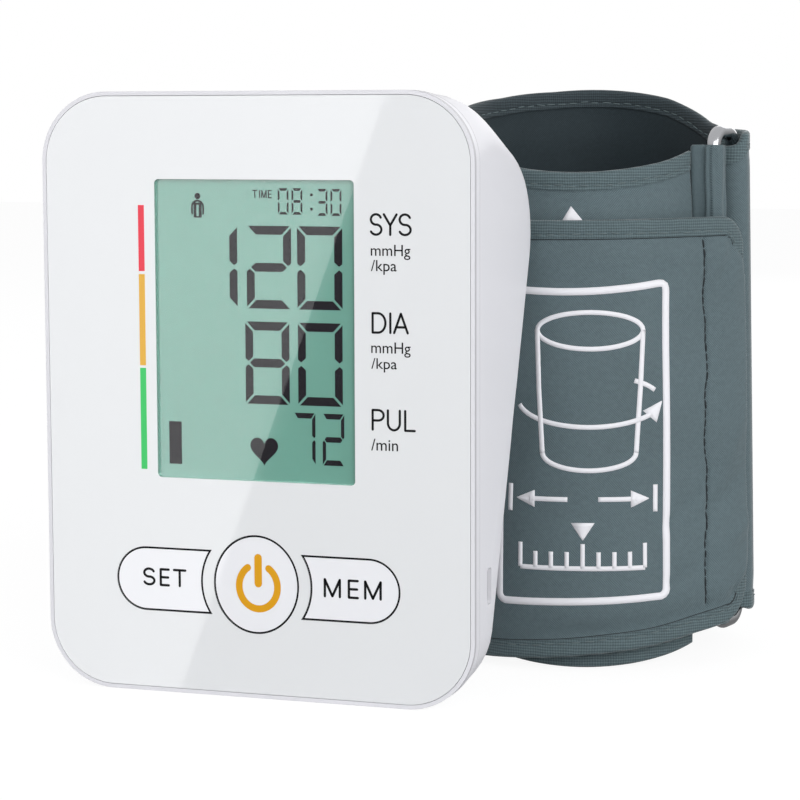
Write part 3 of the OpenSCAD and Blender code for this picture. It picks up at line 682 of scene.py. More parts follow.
def caseRing(grow):
    wide, high, r = caseOutline["wide"] / 2 + grow, caseOutline["high"], caseOutline["corner"] + grow
    line = []
    for cx, cz, start in ((wide - r, high + grow - r, 0), (r - wide, high + grow - r, 90),
                          (r - wide, r - grow, 180), (wide - r, r - grow, 270)):
        line += arc(cx, cz, r, r, start, start + 90, 24)
    return line


# painted shade lines laid round the case's wall
def addCoverShadeLines():
    rings = caseRing(caseOutline["lift"]), caseRing(caseOutline["root"])
    for name, (near, far), hues in coverShadeLines:
        points, faces = ringSlab(*rings, faceY + near, far - near)
        shadeInk = makeInk(name + "Plastic", hues, 0.45, 0.4)
        addPiece(name, points, faces, shadeInk, "monitor", "case_white", smooth=False)


addKeyGapShades()
addCoverShadeLines()

shoulder = {  # the case's upper corners, drawn fuller behind the front cover
    "corner": (36.55, 123.8),  # middle of the face's corner rounding, mm
    "round": 16.2,
    "start": 4.0,  # depth at which it begins
    "reach": 10.1,
    "across": 2.5,
    "up": 7.86,
    "half": 52.7,
    "step": 4.0,  # longest edge there
    "margin": (8, 0.2),  # below the corner and before the start, where edges are split too
    "passes": 3,
    "weld": 1e-6,
    "sharp": 28,
}


def softenByArea(mesh, limit):
    # corner normals: the mean of like-facing neighbours by area, so that flat parts stay flat
    least, tiny = math.cos(math.radians(limit)), 1e-14
    around = [[] for _ in mesh.vertices]
    for f in mesh.polygons:
        for v in f.vertices:
            around[v].append((f.normal.copy(), f.area))
    normals = []
    for f in mesh.polygons:
        for v in f.vertices:
            total = Vector((0, 0, 0))
            for normal, area in around[v]:
                if normal.dot(f.normal) > least:
                    total += normal * area
            normals.append((total.normalized() if total.length > tiny else f.normal)[:])
    mesh.normals_split_custom_set(normals)


def addRearShell():
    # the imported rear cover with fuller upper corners; front edge, sides and back slope are kept
    form = shoulder
    side, low = form["corner"]
    below, before = form["margin"]
    shape = bmesh.new()
    shape.from_mesh(frame["nodes"]["rear_cover"].data)
    bmesh.ops.remove_doubles(shape, verts=shape.verts, dist=form["weld"])

    def near(v):
        return v.co.z > (low - below) * mm and v.co.y > (faceY + form["start"] - before) * mm

    for _ in range(form["passes"]):
        long = [e for e in shape.edges if near(e.verts[0]) and near(e.verts[1])
                and max(abs(v.co.x) for v in e.verts) > side * mm and e.calc_length() > form["step"] * mm]
        bmesh.ops.subdivide_edges(shape, edges=long, cuts=2, use_grid_fill=True)
        bmesh.ops.triangulate(shape, faces=[f for f in shape.faces if len(f.verts) > 4])
    for v in shape.verts:
        x, depth, z = abs(v.co.x) / mm, v.co.y / mm - faceY, v.co.z / mm
        out = max(x - side, 0) / form["round"]
        rise = max(z - low, 0) / form["round"]
        if depth > form["start"] and out and rise:
            gain = min(out, 1) * min(rise, 1) * 2 * (1 - math.exp((form["start"] - depth) / form["reach"]))
            wide = max(x, min(x + form["across"] * gain * out, form["half"]))
            v.co.x = math.copysign(wide, v.co.x) * mm
            v.co.z = (z + form["up"] * gain * rise) * mm
    mesh = bpy.data.meshes.new("rearShell")
    shape.to_mesh(mesh)
    shape.free()
    mesh.materials.append(materials["case_white"])
    mesh.shade_smooth()
    softenByArea(mesh, form["sharp"])
    shell = addObject("rearShell", mesh)
    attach(shell, "monitor")
    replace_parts(shell, "rear_cover")
    print("rear shell has", len(mesh.polygons), "faces")


addRearShell()
# the key webs and cover lines named here are painted shade
print("key webs, cover lines and rear shell are in place")


# display segments
segmentsLit = {"0": "abcdef", "1": "bc", "2": "abged", "3": "abgcd", "7": "abc", "8": "abcdefg"}


def digitOutlines(digit, left, low, width, height, upright, level, gap):
    # mitred bars of one seven-bar digit; upright and level are the bars' widths
    w, h, v, t, g = width, height, upright, level, gap
    m = h / 2
    shapes = {
        "a": [(g, h), (w - g, h), (w - v - g, h - t), (v + g, h - t)],
        "d": [(g, 0), (w - g, 0), (w - v - g, t), (v + g, t)],
        "g": [(v * 0.35 + g, m), (v + g * 0.6, m + t / 2), (w - v - g * 0.6, m + t / 2), (w - v * 0.35 - g, m),
              (w - v - g * 0.6, m - t / 2), (v + g * 0.6, m - t / 2)],
        "f": [(0, h - g), (v, h - t - g), (v, m + t / 2 + g), (v * 0.4, m + g), (0, m + t / 2)],
        "e": [(0, g), (v, t + g), (v, m - t / 2 - g), (v * 0.4, m - g), (0, m - t / 2)],
    }
    # the right side mirrors the left
    shapes["b"], shapes["c"] = ([(w - x, z) for x, z in shapes[s]] for s in "fe")
    return [[(left + x, low + z) for x, z in shapes[s]] for s in segmentsLit[digit]]


numerals = [  # heights are the lowest and the highest, bars the widths of upright and level bars
    {"text": "120", "right": 21.25, "heights": (90.6, 109.5), "width": 10.9, "pitch": 12.35,
     "bars": (1.95, 2.0), "gap": 0.38},
    {"text": "80", "right": 21.2, "heights": (68.65, 87.6), "width": 10.8, "pitch": 12.9,
     "bars": (1.9, 2.0), "gap": 0.38},
    {"text": "72", "right": 21.5, "heights": (55.05, 66.95), "width": 5.25, "pitch": 7.0,
     "bars": (0.8, 1.25), "gap": 0.2},
    {"text": "08", "right": 11.7, "heights": (112.1, 118.1), "width": 2.6, "pitch": 3.35,
     "bars": (0.44, 0.62), "gap": 0.24},
    {"text": "30", "right": 21.1, "heights": (111.9, 118.0), "width": 2.6, "pitch": 3.35,
     "bars": (0.44, 0.62), "gap": 0.24},
]
oneShift = 0.85  # the figure 1 stands further left
displayMarks = {
    "colon": {"x": 13.9, "z": (113.4, 116.6), "r": 0.36},
    "heart": (1.92, 58.15, 6.85, 6.6),  # middle, width and height
    "bar": (-21.8, -18.65, 53.95, 63.9),
    "person": (-14.0, 111.2),  # middle and feet
    "time": {"letters": (("T", 0, 0.27), ("I", 0.34, 0.42), ("M", 0.46, 0.74), ("E", 0.8, 1)),
             "place": (-0.5, 4.3, 115.75, 117.65), "stroke": 0.25},
    "depth": (0.3, 0.6),  # start and thickness as shares of the gap between window and glass
}


def heartOutline(cx, cz, width, height):
    line = []
    for i in range(48):
        t = 2 * math.pi * i / 48
        x = 16 * math.sin(t) ** 3 / 32
        z = (13 * math.cos(t) - 5 * math.cos(2 * t) - 2 * math.cos(3 * t) - math.cos(4 * t)) / 29
        line.append((cx + x * width, cz + z * height))
    return line


person = {"head": (4.95, 0.74), "arm": 0.42, "half": 1.6, "arch": (1.55, 1.1), "shoulder": 2.55, "hand": 0.75,
          "chest": (1.0, 3.45), "slit": 0.3, "collar": 0.5, "foot": 0.35}


def personOutlines(cx, low):
    # a plain figure: head, arms joined by the shoulders, and a body with a bright slit
    form = person
    headUp, headRound = form["head"]
    outer, inner = form["half"], form["half"] - form["arm"]
    turn, hand = low + form["shoulder"], low + form["hand"]
    arms = arc(cx, turn, outer, form["arch"][0], 0, 180, 16) + [(cx - outer, hand), (cx - inner, hand)]
    arms += arc(cx, turn, inner, form["arch"][1], 180, 0, 16) + [(cx + inner, hand), (cx + outer, hand)]
    wide, top, slit = form["chest"][0], low + form["chest"][1], form["slit"]
    return [arc(cx, low + headUp, headRound, headRound, 0, 345, 23), arms,
            box2d(cx - wide, cx - slit, low, top), box2d(cx + slit, cx + wide, low, top),
            box2d(cx - slit, cx + slit, top - form["collar"], top),
            box2d(cx - slit, cx + slit, low, low + form["foot"])]


def addDisplay():
    # everything dark on the display lies in the thin gap between glass and window
    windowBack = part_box("display_window")[1].y / mm
    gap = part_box("lcd_glass")[0].y / mm - windowBack
    marks = displayMarks
    outlines = []
    for n in numerals:
        low, top = n["heights"]
        for i, digit in enumerate(n["text"]):
            left = n["right"] - n["width"] - (len(n["text"]) - 1 - i) * n["pitch"]
            left -= oneShift if digit == "1" else 0
            outlines += digitOutlines(digit, left, low, n["width"], top - low, *n["bars"], n["gap"])
    colon, time = marks["colon"], marks["time"]
    outlines += [arc(colon["x"], z, colon["r"], colon["r"], 0, 330, 11) for z in colon["z"]]
    outlines += [heartOutline(*marks["heart"]), box2d(*marks["bar"])]
    outlines += personOutlines(*marks["person"])
    outlines += wordOutlines(time["letters"], *time["place"], time["stroke"])
    start, thick = marks["depth"]
    points, faces = slabs(outlines, windowBack + gap * start, gap * thick)
    addPiece("displaySegments", points, faces, inks["segment"], "monitor", "lcd", smooth=False)


addDisplay()
print("the display shows its numerals")


# arm cuff: cloth laid along the roll's plan
cuffShape = {"x": 55, "depth": 87.5, "high": 120.5, "climb": 19, "flare": 0.03}
hem = {  # distances from the edge, half a thickness, and depths, mm
    "half": 1.1, "edge": 1.1, "stitch": 3.35, "tape": 4.5, "shade": 4.55, "groove": 0.2, "grooveWide": 0.28,
    "step": 0.28,
}
endSteps = [0, 0.12, 0.4, 0.75, 1.2]
endStart = 1.9
rowSteps = endSteps + [1.8, 2.4, 2.9, 3.15, 3.35, 3.55, 3.8, 4.2, 4.44, 4.58, 5.0, 5.6, 6.4, 7.6, 9.2]


def lookUp(table, key):
    keys, values = zip(*sorted(table))
    return np.interp(key, keys, values)


def bump01(x, low, high):
    t = np.clip((np.asarray(x, float) - low) / (high - low), 0, 1)
    return t * t * (3 - 2 * t)


def cloudAt(s, z, scale, seed):
    # smooth noise over the cloth, about -1 to 1
    flat = [noise.noise(Vector((a / scale, b / scale, seed))) for a, b in zip(np.ravel(s), np.ravel(z))]
    return np.array(flat).reshape(np.shape(s)) * 1.6


def layStrip(plan, keys, low, top, outward, corner=0):
    # plan: points about the roll's middle; outward: which side of the path looks away from the arm
    plan = np.array(plan, float)
    steps = np.hypot(*np.diff(plan, axis=0).T)
    length = np.concatenate([[0], np.cumsum(steps)])
    fine = np.arange(0, length[-1], 0.5)
    blur = np.array([1, 2, 3, 4, 3, 2, 1]) / 16

    def soften(values):
        padded = np.concatenate([[values[0]] * 3, values, [values[-1]] * 3])
        padded[:3] = 2 * values[0] - values[3:0:-1]
        padded[-3:] = 2 * values[-1] - values[-2:-5:-1]
        return np.convolve(padded, blur, "valid")

    px, py = (soften(np.interp(fine, length, plan[:, i])) for i in (0, 1))
    tx, ty = np.gradient(px), np.gradient(py)
    run = np.hypot(tx, ty)
    return {"s": fine, "px": px, "py": py, "nx": ty / run * outward, "ny": -tx / run * outward,
            "key": np.interp(fine, length, keys), "low": soften(np.interp(fine, length, low)),
            "top": soften(np.interp(fine, length, top)), "end": fine[-1], "corner": corner}


def along(strip, angle):
    order = np.argsort(strip["key"], kind="stable")
    return np.interp(angle, strip["key"][order], strip["s"][order])


def onStrip(strip, s, z, lift):
    s = np.asarray(s, float)
    px, py, nx, ny = (np.interp(s, strip["s"], strip[k]) for k in ("px", "py", "nx", "ny"))
    wide = 1 + cuffShape["flare"] * (1 - 2 * z / cuffShape["high"])
    x = cuffShape["x"] + (px + nx * lift) * wide
    y = faceY + cuffShape["depth"] + (py + ny * lift) * wide
    return np.stack([x, y, z + 0 * x], -1)


def edgeDistance(strip, s, z):
    # how far inside the cloth's edge a point lies, with the free end's corners rounded
    low, top = (np.interp(s, strip["s"], strip[k]) for k in ("low", "top"))
    up = np.minimum(z - low, top - z)
    ahead = strip["end"] - s
    r = strip["corner"]
    if r:  # the hem goes round the free end
        near = (up < r) & (ahead < r)
        tuck = ahead * (1 + np.maximum(up - r, 0) * 1.5)  # the tape tucks under beyond the corner
        up = np.where(near, r - np.hypot(r - up, r - ahead), np.minimum(up, tuck))
    return np.maximum(up, 0)


def clothLift(strip, s, z, side):
    # how far the outer (+1) or inner (-1) face stands off the middle of the cloth
    d = edgeDistance(strip, s, z)
    closed = np.minimum(d, np.minimum(s, strip["end"] - s))
    rim = np.sqrt(1 - (1 - np.clip(closed / hem["edge"], 0, 1)) ** 2)
    groove = hem["groove"] * np.exp(-((d - hem["stitch"]) / hem["grooveWide"]) ** 2)
    step = hem["step"] * bump01(d, hem["tape"] - 0.06, hem["tape"] + 0.08)
    full = strip["fullOut"](s, z) if side > 0 else strip["fullIn"](s, z)
    body = bump01(d, hem["tape"], hem["tape"] + strip["rise"])
    thick = rim * ((hem["half"] - groove - step) * (1 - body) + full * body)
    return side * thick + rim * strip["drape"](s, z, d)


def rowHeights(strip, s, count):
    # heights from the lower to the upper edge, closely spaced in the hems
    low, top = (np.interp(s, strip["s"], strip[k]) for k in ("low", "top"))
    r, ahead = strip["corner"], strip["end"] - s
    cut = r - math.sqrt(max(r * r - max(r - ahead, 0) ** 2, 0)) if r else 0
    low, top = low + cut, top - cut
    steps = np.array(rowSteps)
    middle = np.linspace(low + steps[-1], top - steps[-1], count + 2)[1:-1]
    return np.concatenate([low + steps, middle, top - steps[::-1]])


def columnPlaces(strip, coarse, extra):
    # column spacing, finer at both ends and at the places given as (middle, reach, spacing)
    spots, end, s = list(endSteps), strip["end"], endStart
    while s < end - endStart:
        spots.append(s)
        step = coarse
        for middle, reach, fine in extra:
            if abs(s - middle) < reach:
                step = min(step, fine)
        s += step
    return np.array(spots + [end - x for x in [endStart] + endSteps[::-1]])


def sheetQuads(n, m, at, flip):
    # quads of an outer and an inner grid; at gives a point's number from its row, column and side
    for k in (0, 1):
        for i in range(n - 1):
            for j in range(m - 1):
                quad = [at(i, j, k), at(i + 1, j, k), at(i + 1, j + 1, k), at(i, j + 1, k)]
                yield (i, j, k), quad if (k == 0) != flip else quad[::-1]


def clothMesh(name, strip, columns, middleRows, body, slot, linedAndShaded):
    rows = np.array([rowHeights(strip, s, middleRows) for s in columns])
    s = np.repeat(columns[:, None], rows.shape[1], 1)
    d = edgeDistance(strip, s, rows)
    faces, kinds = [], []
    n, m = rows.shape
    outer = onStrip(strip, s, rows, clothLift(strip, s, rows, 1))
    inner = onStrip(strip, s, rows, clothLift(strip, s, rows, -1))
    points = list(outer.reshape(-1, 3)) + list(inner.reshape(-1, 3))

    def index(i, j, k):
        # both faces meet along the edge
        rim = i in (0, n - 1) or j in (0, m - 1)
        return i * m + j + (0 if rim else k * n * m)

    for (i, j, k), quad in sheetQuads(n, m, index, strip["flip"]):
        faces.append(quad)
        near = (d[i, j] + d[i + 1, j] + d[i + 1, j + 1] + d[i, j + 1]) / 4
        # inner faces of a lined and shaded strip take the darker lining materials, which carry painted shade
        kinds.append((1 if near < hem["tape"] else 0) + (2 if linedAndShaded and k else 0))
    used = sorted({v for f in faces for v in f})
    place = {v: i for i, v in enumerate(used)}
    faces = [[place[v] for v in f] for f in faces]
    flat = np.stack([s.ravel(), rows.ravel()], -1)
    flat = np.concatenate([flat, flat])[used] * mm
    cloths = [materials["cuff_cloth"], hemTape, shadedLiningCloth, shadedLiningTape]
    piece = addPiece(name, [points[v] for v in used], faces, cloths, body, slot)
    mesh = piece.data
    mesh.polygons.foreach_set("material_index", kinds)
    mapLayer = mesh.uv_layers.new(name="cloth")
    corners = np.zeros(len(mesh.loops), int)
    mesh.loops.foreach_get("vertex_index", corners)
    mapLayer.data.foreach_set("uv", flat[corners].ravel())
    return piece


def creaseDrape(strip, creases, ripple, cloud, seed):
    # given creases (key angle, height, slant, length, width, depth) over soft noise
    def drape(s, z, d):
        total = cloud * cloudAt(s, z, 26, seed) * bump01(d, 4, 16)
        total = total + ripple * cloudAt(s, z, 9, seed + 7) * (1 - bump01(d, 5, 11))
        for angle, height, slant, length, width, depth in creases:
            ds, dz = s - along(strip, angle), z - height
            turn = math.radians(slant)
            run = ds * math.cos(turn) + dz * math.sin(turn)
            across = dz * math.cos(turn) - ds * math.sin(turn)
            total = total + depth * np.exp(-(run / length) ** 2 - (across / width) ** 2)
        return total
    return drape


def polar(angle, radius):
    turn = np.radians(angle)
    return np.stack([radius * np.sin(turn), -radius * np.cos(turn)], -1)


# padded turn: tables run over the angle round the roll
bandRadius = [(-258, 36.4), (-240, 34), (-215, 32.4), (-190, 32), (30, 32), (68, 32.6)]
bandThick = [(-258, 2.0), (-200, 2.4), (-150, 5.0), (45, 5.0), (68, 3.0)]
bandLift = [(-258, 0), (-240, -1.3), (-210, 0.4), (-150, 0.2), (-120, 1.4), (-90, 4.0), (-60, 3.8), (-20, 0),
            (34, 0.3), (52, 0.3), (68, 0.7)]  # how much higher the top edge stands than an even climb


def bandEdges(angle):
    climb = cuffShape["climb"]
    low = climb * (1 - np.cos(np.radians(angle - 15))) / 2
    top = cuffShape["high"] + (climb + 1) * (1 - np.cos(np.radians(angle - 12))) / 2
    return low, top + lookUp(bandLift, angle)


bandAngles = np.linspace(68, -258, 200)
bandLow, bandTop = bandEdges(bandAngles)
band = layStrip(polar(bandAngles, lookUp(bandRadius, bandAngles)), bandAngles, bandLow, bandTop, -1)
band["flip"] = True
band["rise"] = 9
band["fullOut"] = lambda s, z: np.interp(s, band["s"], lookUp(bandThick, band["key"]) / 2 - 0.05)
band["fullIn"] = lambda s, z: np.interp(s, band["s"], lookUp(bandThick, band["key"]) / 2)
bandCreases = [  # angle, height, slant, length, width, depth
    (40, 112, 62, 10, 2.2, -0.35), (28, 109, 35, 14, 2.0, 0.25), (-150, 110, 70, 16, 3.0, -0.5),
    (-195, 118, 80, 14, 2.4, -0.45), (-120, 116, 60, 18, 3.0, 0.4), (52, 100, 80, 26, 1.6, -0.4),
]
band["drape"] = creaseDrape(band, bandCreases, 0.16, 0.12, 3)

# strap with its fold round the ring and its free end
ringBars = {"one": (36.1, -9.9), "two": (38.6, 1.4), "wire": 1.75}
strapRadius = [(104, 41.6), (118, 39.8), (140, 37.4), (170, 36.4), (190, 36.3), (335, 36.4), (352, 36.8),
               (400, 36.9), (418, 38.6), (427, 40.6), (434, 41.9), (441, 42.9)]
strapLow = [(90, 9), (94, 11.4), (104, 9.4), (130, 4), (180, 0), (290, 0), (340, 2), (367, 3.4), (400, 5.6),
            (430, 9.6), (441, 11.8)]
strapTop = [(90, 130.5), (94, 126.6), (100, 130.2), (104, 130.4), (118, 130.6), (130, 129.4), (180, 126),
            (270, 120), (320, 112), (350, 109.2), (441, 109.8)]
foldRadius = ringBars["wire"] + 1.45
foldTurns = np.radians(np.arange(180, 361, 12))
fold = np.array(ringBars["two"]) + foldRadius * np.stack([np.cos(foldTurns), np.sin(foldTurns)], -1)
bandEnd = polar(bandAngles[-1], 36.4)
firstRun = (fold[0] - bandEnd) / np.hypot(*(fold[0] - bandEnd))
strapAngles = np.linspace(104, 441, 220)
strapTurn = polar(strapAngles, lookUp(strapRadius, strapAngles))
strapPlan = np.concatenate([[bandEnd + 0.5 * firstRun], fold, strapTurn])
foldKeys = 94 + np.maximum(np.degrees(foldTurns) - 292.5, 0) / 12
strapKeys = np.concatenate([[90], foldKeys, strapAngles])
strap = layStrip(strapPlan, strapKeys, lookUp(strapLow, strapKeys), lookUp(strapTop, strapKeys), 1, corner=8)
strap["flip"] = False
strap["rise"] = 4.5
strap["fullOut"] = lambda s, z: 1.0 + 0.75 * bump01(s, 30, 60)
strap["fullIn"] = lambda s, z: 0.95 + 0 * s
seamAngle = 422.0
strapCreases = [  # angle, height, slant, length, width, depth
    (426, 40, 38, 9, 1.5, -1.0), (432, 31, 30, 9, 1.8, 0.8), (414, 40, 42, 8, 1.6, -0.8),
    (416, 24, 24, 10, 1.6, -0.7),
    (431, 52, 55, 12, 2.2, 0.4), (408, 98, 12, 16, 2.4, -0.4), (430, 96, 60, 9, 2.0, -0.6),
    (395, 12, 10, 20, 2.2, -0.45), (362, 11, -6, 22, 2.0, -0.4), (380, 16, 8, 26, 3.0, 0.4),
    (120, 60, 85, 40, 3.0, -0.5), (128, 80, 80, 30, 3.0, 0.4), (112, 100, 75, 26, 2.4, -0.5),
    (350, 60, 80, 30, 4.0, -0.4), (385, 55, 70, 34, 5.0, -0.35), (400, 70, 100, 30, 4.0, 0.4),
]
softCreases = creaseDrape(strap, strapCreases, 0.2, 0.28, 11)


def seamPlace(z):
    # the seam is a slightly wavy upright line
    return along(strap, seamAngle) + 0.35 * np.sin(z / 5.3) + 0.2 * np.sin(z / 1.9 + 1)


def strapDrape(s, z, d):
    # the seam pulls the cloth in
    seam = seamPlace(z)
    pull = -0.5 * np.exp(-((s - seam) / 0.42) ** 2) - 0.3 * np.exp(-((s - seam) / 2.4) ** 2)
    free = bump01(s, 24, 50)
    return softCreases(s, z, d) * free + pull * bump01(d, 4.3, 5.5)


strap["drape"] = strapDrape


def edgeLine(strip, inset, start, end, upper, spacing=0.5):
    # a run at a fixed distance from one long edge
    s = np.arange(start, end, spacing)
    edge = np.interp(s, strip["s"], strip["top" if upper else "low"])
    return np.stack([s, edge - inset if upper else edge + inset], -1)


def freeEndLines(strip, inset, start):
    # along the lower hem and round the free end's lower corner, and the same above
    r, end = strip["corner"], strip["end"]
    lower = edgeLine(strip, inset, start, end - r, False)
    upper = edgeLine(strip, inset, start, end - r, True)
    low, top = (np.interp(end - r, strip["s"], strip[k]) for k in ("low", "top"))
    turns = np.radians(np.linspace(-90, -12, 12))
    swing = np.stack([np.cos(turns), np.sin(turns)], -1) * (r - inset)
    first = swing + (end - r, low + r)
    second = (swing * (1, -1))[::-1] + (end - r, top - r)
    return [np.concatenate([lower, first]), np.concatenate([second, upper[::-1]])]


def evenPoints(line, spacing):
    line = np.array(line, float)
    run = np.concatenate([[0], np.cumsum(np.hypot(*np.diff(line, axis=0).T))])
    count = max(int(run[-1] / spacing), 1)
    marks = np.linspace(0, run[-1], count + 1)
    return np.stack([np.interp(marks, run, line[:, i]) for i in (0, 1)], -1)


thread = {  # one stitch from end to end: place, thickness and height over the cloth
    "marks": np.array([-1, -0.8, -0.35, 0.35, 0.8, 1]),
    "swell": np.array([0.25, 0.75, 1, 1, 0.75, 0.25]),
    "rise": np.array([-0.26, 0.02, 0.11, 0.11, 0.02, -0.26]),
}


def addStitches(name, strip, line, side, ink, pitch=3.1, length=2.5, radius=0.15, wobble=0.12, seed=5):
    # short rounded threads that dip into the cloth at both ends
    rng = np.random.default_rng(seed)
    spots = evenPoints(line, pitch)
    marks, swell, rise = thread["marks"], thread["swell"], thread["rise"]
    points, faces = [], []
    rim = np.radians(np.arange(0, 360, 60))
    for a, b in zip(spots[:-1], spots[1:]):
        middle = (a + b) / 2 + rng.normal(0, wobble, 2)
        way = (b - a) / np.hypot(*(b - a)) + rng.normal(0, 0.05, 2)
        run = middle + marks[:, None] * way * length * rng.uniform(0.88, 1.08) / 2
        s, z = run.T
        lift = clothLift(strip, s, z, side)
        core = onStrip(strip, s, z, lift + side * rise)
        out = onStrip(strip, s, z, lift + side) - onStrip(strip, s, z, lift)
        ahead = np.gradient(core, axis=0)
        ahead /= np.linalg.norm(ahead, axis=1)[:, None]
        out -= ahead * (out * ahead).sum(1)[:, None]
        out /= np.linalg.norm(out, axis=1)[:, None]
        sidewise = np.cross(ahead, out)
        base = len(points)
        for i in range(len(marks)):
            for t in rim:
                points.append(core[i] + radius * swell[i] * (math.cos(t) * out[i] + math.sin(t) * sidewise[i]))
        count = len(rim)
        for i in range(len(marks) - 1):
            for j in range(count):
                k = (j + 1) % count
                faces.append((base + i * count + j, base + i * count + k,
                              base + (i + 1) * count + k, base + (i + 1) * count + j))
        faces.append(tuple(base + j for j in range(count))[::-1])
        faces.append(tuple(base + (len(marks) - 1) * count + j for j in range(count)))
    return addPiece(name, points, faces, ink, "cuff", "cuff_cloth")


def printRibbons(name, strip, strokes, ink, rise=0.08, sink=0.06):
    # thin bars on the cloth, for print and for painted shade: each stroke is a line over the cloth with its
    # width, or a width per point
    points, faces = [], []
    for line, width, closed in strokes:
        line = np.array(line, float)
        if closed:
            line = np.concatenate([line, line[:1]])
        run = np.concatenate([[0], np.cumsum(np.hypot(*np.diff(line, axis=0).T))])
        marks = np.linspace(0, run[-1], max(int(run[-1] / 0.8), 2) + 1)
        path = np.stack([np.interp(marks, run, line[:, i]) for i in (0, 1)], -1)
        wide = np.interp(marks, run, width) if np.ndim(width) else np.full(len(marks), float(width))
        if closed:
            path = path[:-1]
            wide = wide[:-1]
            ahead = np.roll(path, -1, 0) - np.roll(path, 1, 0)
        else:
            ahead = np.gradient(path, axis=0)
        ahead /= np.hypot(*ahead.T)[:, None]
        sidewise = np.stack([-ahead[:, 1], ahead[:, 0]], -1) * wide[:, None] / 2
        base, n = len(points), len(path)
        for offset, level in ((-1, -sink), (-1, rise), (0, rise), (1, rise), (1, -sink)):
            s, z = (path + sidewise * offset).T
            points += list(onStrip(strip, s, z, clothLift(strip, s, z, 1) + level))
        across = 5
        for i in range(n if closed else n - 1):
            k = (i + 1) % n
            for j in range(across):
                h = (j + 1) % across
                faces.append((base + j * n + i, base + j * n + k, base + h * n + k, base + h * n + i))
        if not closed:
            faces.append(tuple(base + j * n for j in range(across)))
            faces.append(tuple(base + j * n + n - 1 for j in range(across))[::-1])
    return addPiece(name, points, faces, ink, "cuff", "cuff_cloth")


bandColumns = columnPlaces(band, 1.7, [])
cuffBand = clothMesh("cuffBand", band, bandColumns, 46, "cuff", "cuff_cloth", True)
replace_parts(cuffBand, "cuff_band")
strapColumns = columnPlaces(strap, 1.7, [(12, 14, 0.6), (along(strap, seamAngle), 2.6, 0.3),
                                         (strap["end"] - 5, 7, 0.6)])
cuffStrap = clothMesh("cuffStrap", strap, strapColumns, 46, "cuff", "cuff_cloth", False)
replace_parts(cuffStrap, "cuff_strap")

for upper in (False, True):
    for side in (1, -1):
        line = edgeLine(band, hem["stitch"], 4, band["end"] - 3, upper)
        addStitches("bandStitches" + "LT"[upper] + ("Out" if side > 0 else "In"), band, line, side,
                    inks["thread"], seed=20 + side)
for label, line in zip("LT", freeEndLines(strap, hem["stitch"], 16)):
    addStitches("strapStitches" + label, strap, line, 1, inks["thread"])
# painted shade: dark ribbons along the tapes' inner edges stand in for the shadow of each tape's edge on the
# cloth
strapShades = [(line, 0.34, False) for line in freeEndLines(strap, hem["shade"], 16)]
printRibbons("strapHemShade", strap, strapShades, inks["darkThreadAndShade"], 0.03)
bandShade = (edgeLine(band, hem["shade"], 3, band["end"] - 3, False), 0.3, False)
printRibbons("bandHemShade", band, [bandShade], inks["darkThreadAndShade"], 0.03)
seamHeights = np.arange(15, 104.6, 0.6)
seamLine = np.stack([seamPlace(seamHeights), seamHeights], -1)
addStitches("seamStitches", strap, seamLine, 1, inks["darkThreadAndShade"], 2.3, 2.5, 0.22, 0.06)
print("band and strap are laid, hemmed and stitched")


# print on the strap: a plain placing diagram
def roundedBox(left, right, low, top, radius, steps=6):
    line = []
    for cx, cz, start in ((right - radius, low + radius, -90), (right - radius, top - radius, 0),
                          (left + radius, top - radius, 90), (left + radius, low + radius, 180)):
        line += arc(cx, cz, radius, radius, start, start + 90, steps)
    return line


def arrowHead(tip, turn, size):
    a, b = math.cos(math.radians(turn)), math.sin(math.radians(turn))
    return [tip, (tip[0] - a * size, tip[1] - b * size)], [0.15, size * 0.95]


diagram = {  # mm along the cloth and up
    "turns": (343.3, 405.4),  # the frame's sides, as angles round the roll
    "frame": {"low": 16.9, "top": 92.8, "corner": 1.5, "line": 1.75, "rise": 1.6, "sag": 1.2},
    "line": 1.15,
    "tube": {"shift": 1.5, "top": 83, "waist": 69, "low": 53.5, "wide": 12.5, "rim": 4.4, "foot": 4.2,
             "taper": (0.6, 1.6)},
    "wrap": {"z": 66, "wide": 17, "high": 6.2, "front": (190, 330, 34), "back": (24, 52, 8),
             "tip": (2.6, 2.9), "turn": 50, "head": 4.8},
    "scale": {"low": 25.5, "inset": 5.5, "ticks": 8, "short": 4.0, "long": 6.0, "line": 1.0},
    "pointer": {"heights": (36.6, 32.4), "widths": [5.4, 0.2]},
    "arrows": {"z": 42.3, "start": 3.5, "end": 12.5, "tip": 15.5, "head": 4.4, "stop": 17.2,
               "stopHeights": (39, 45.6)},
}


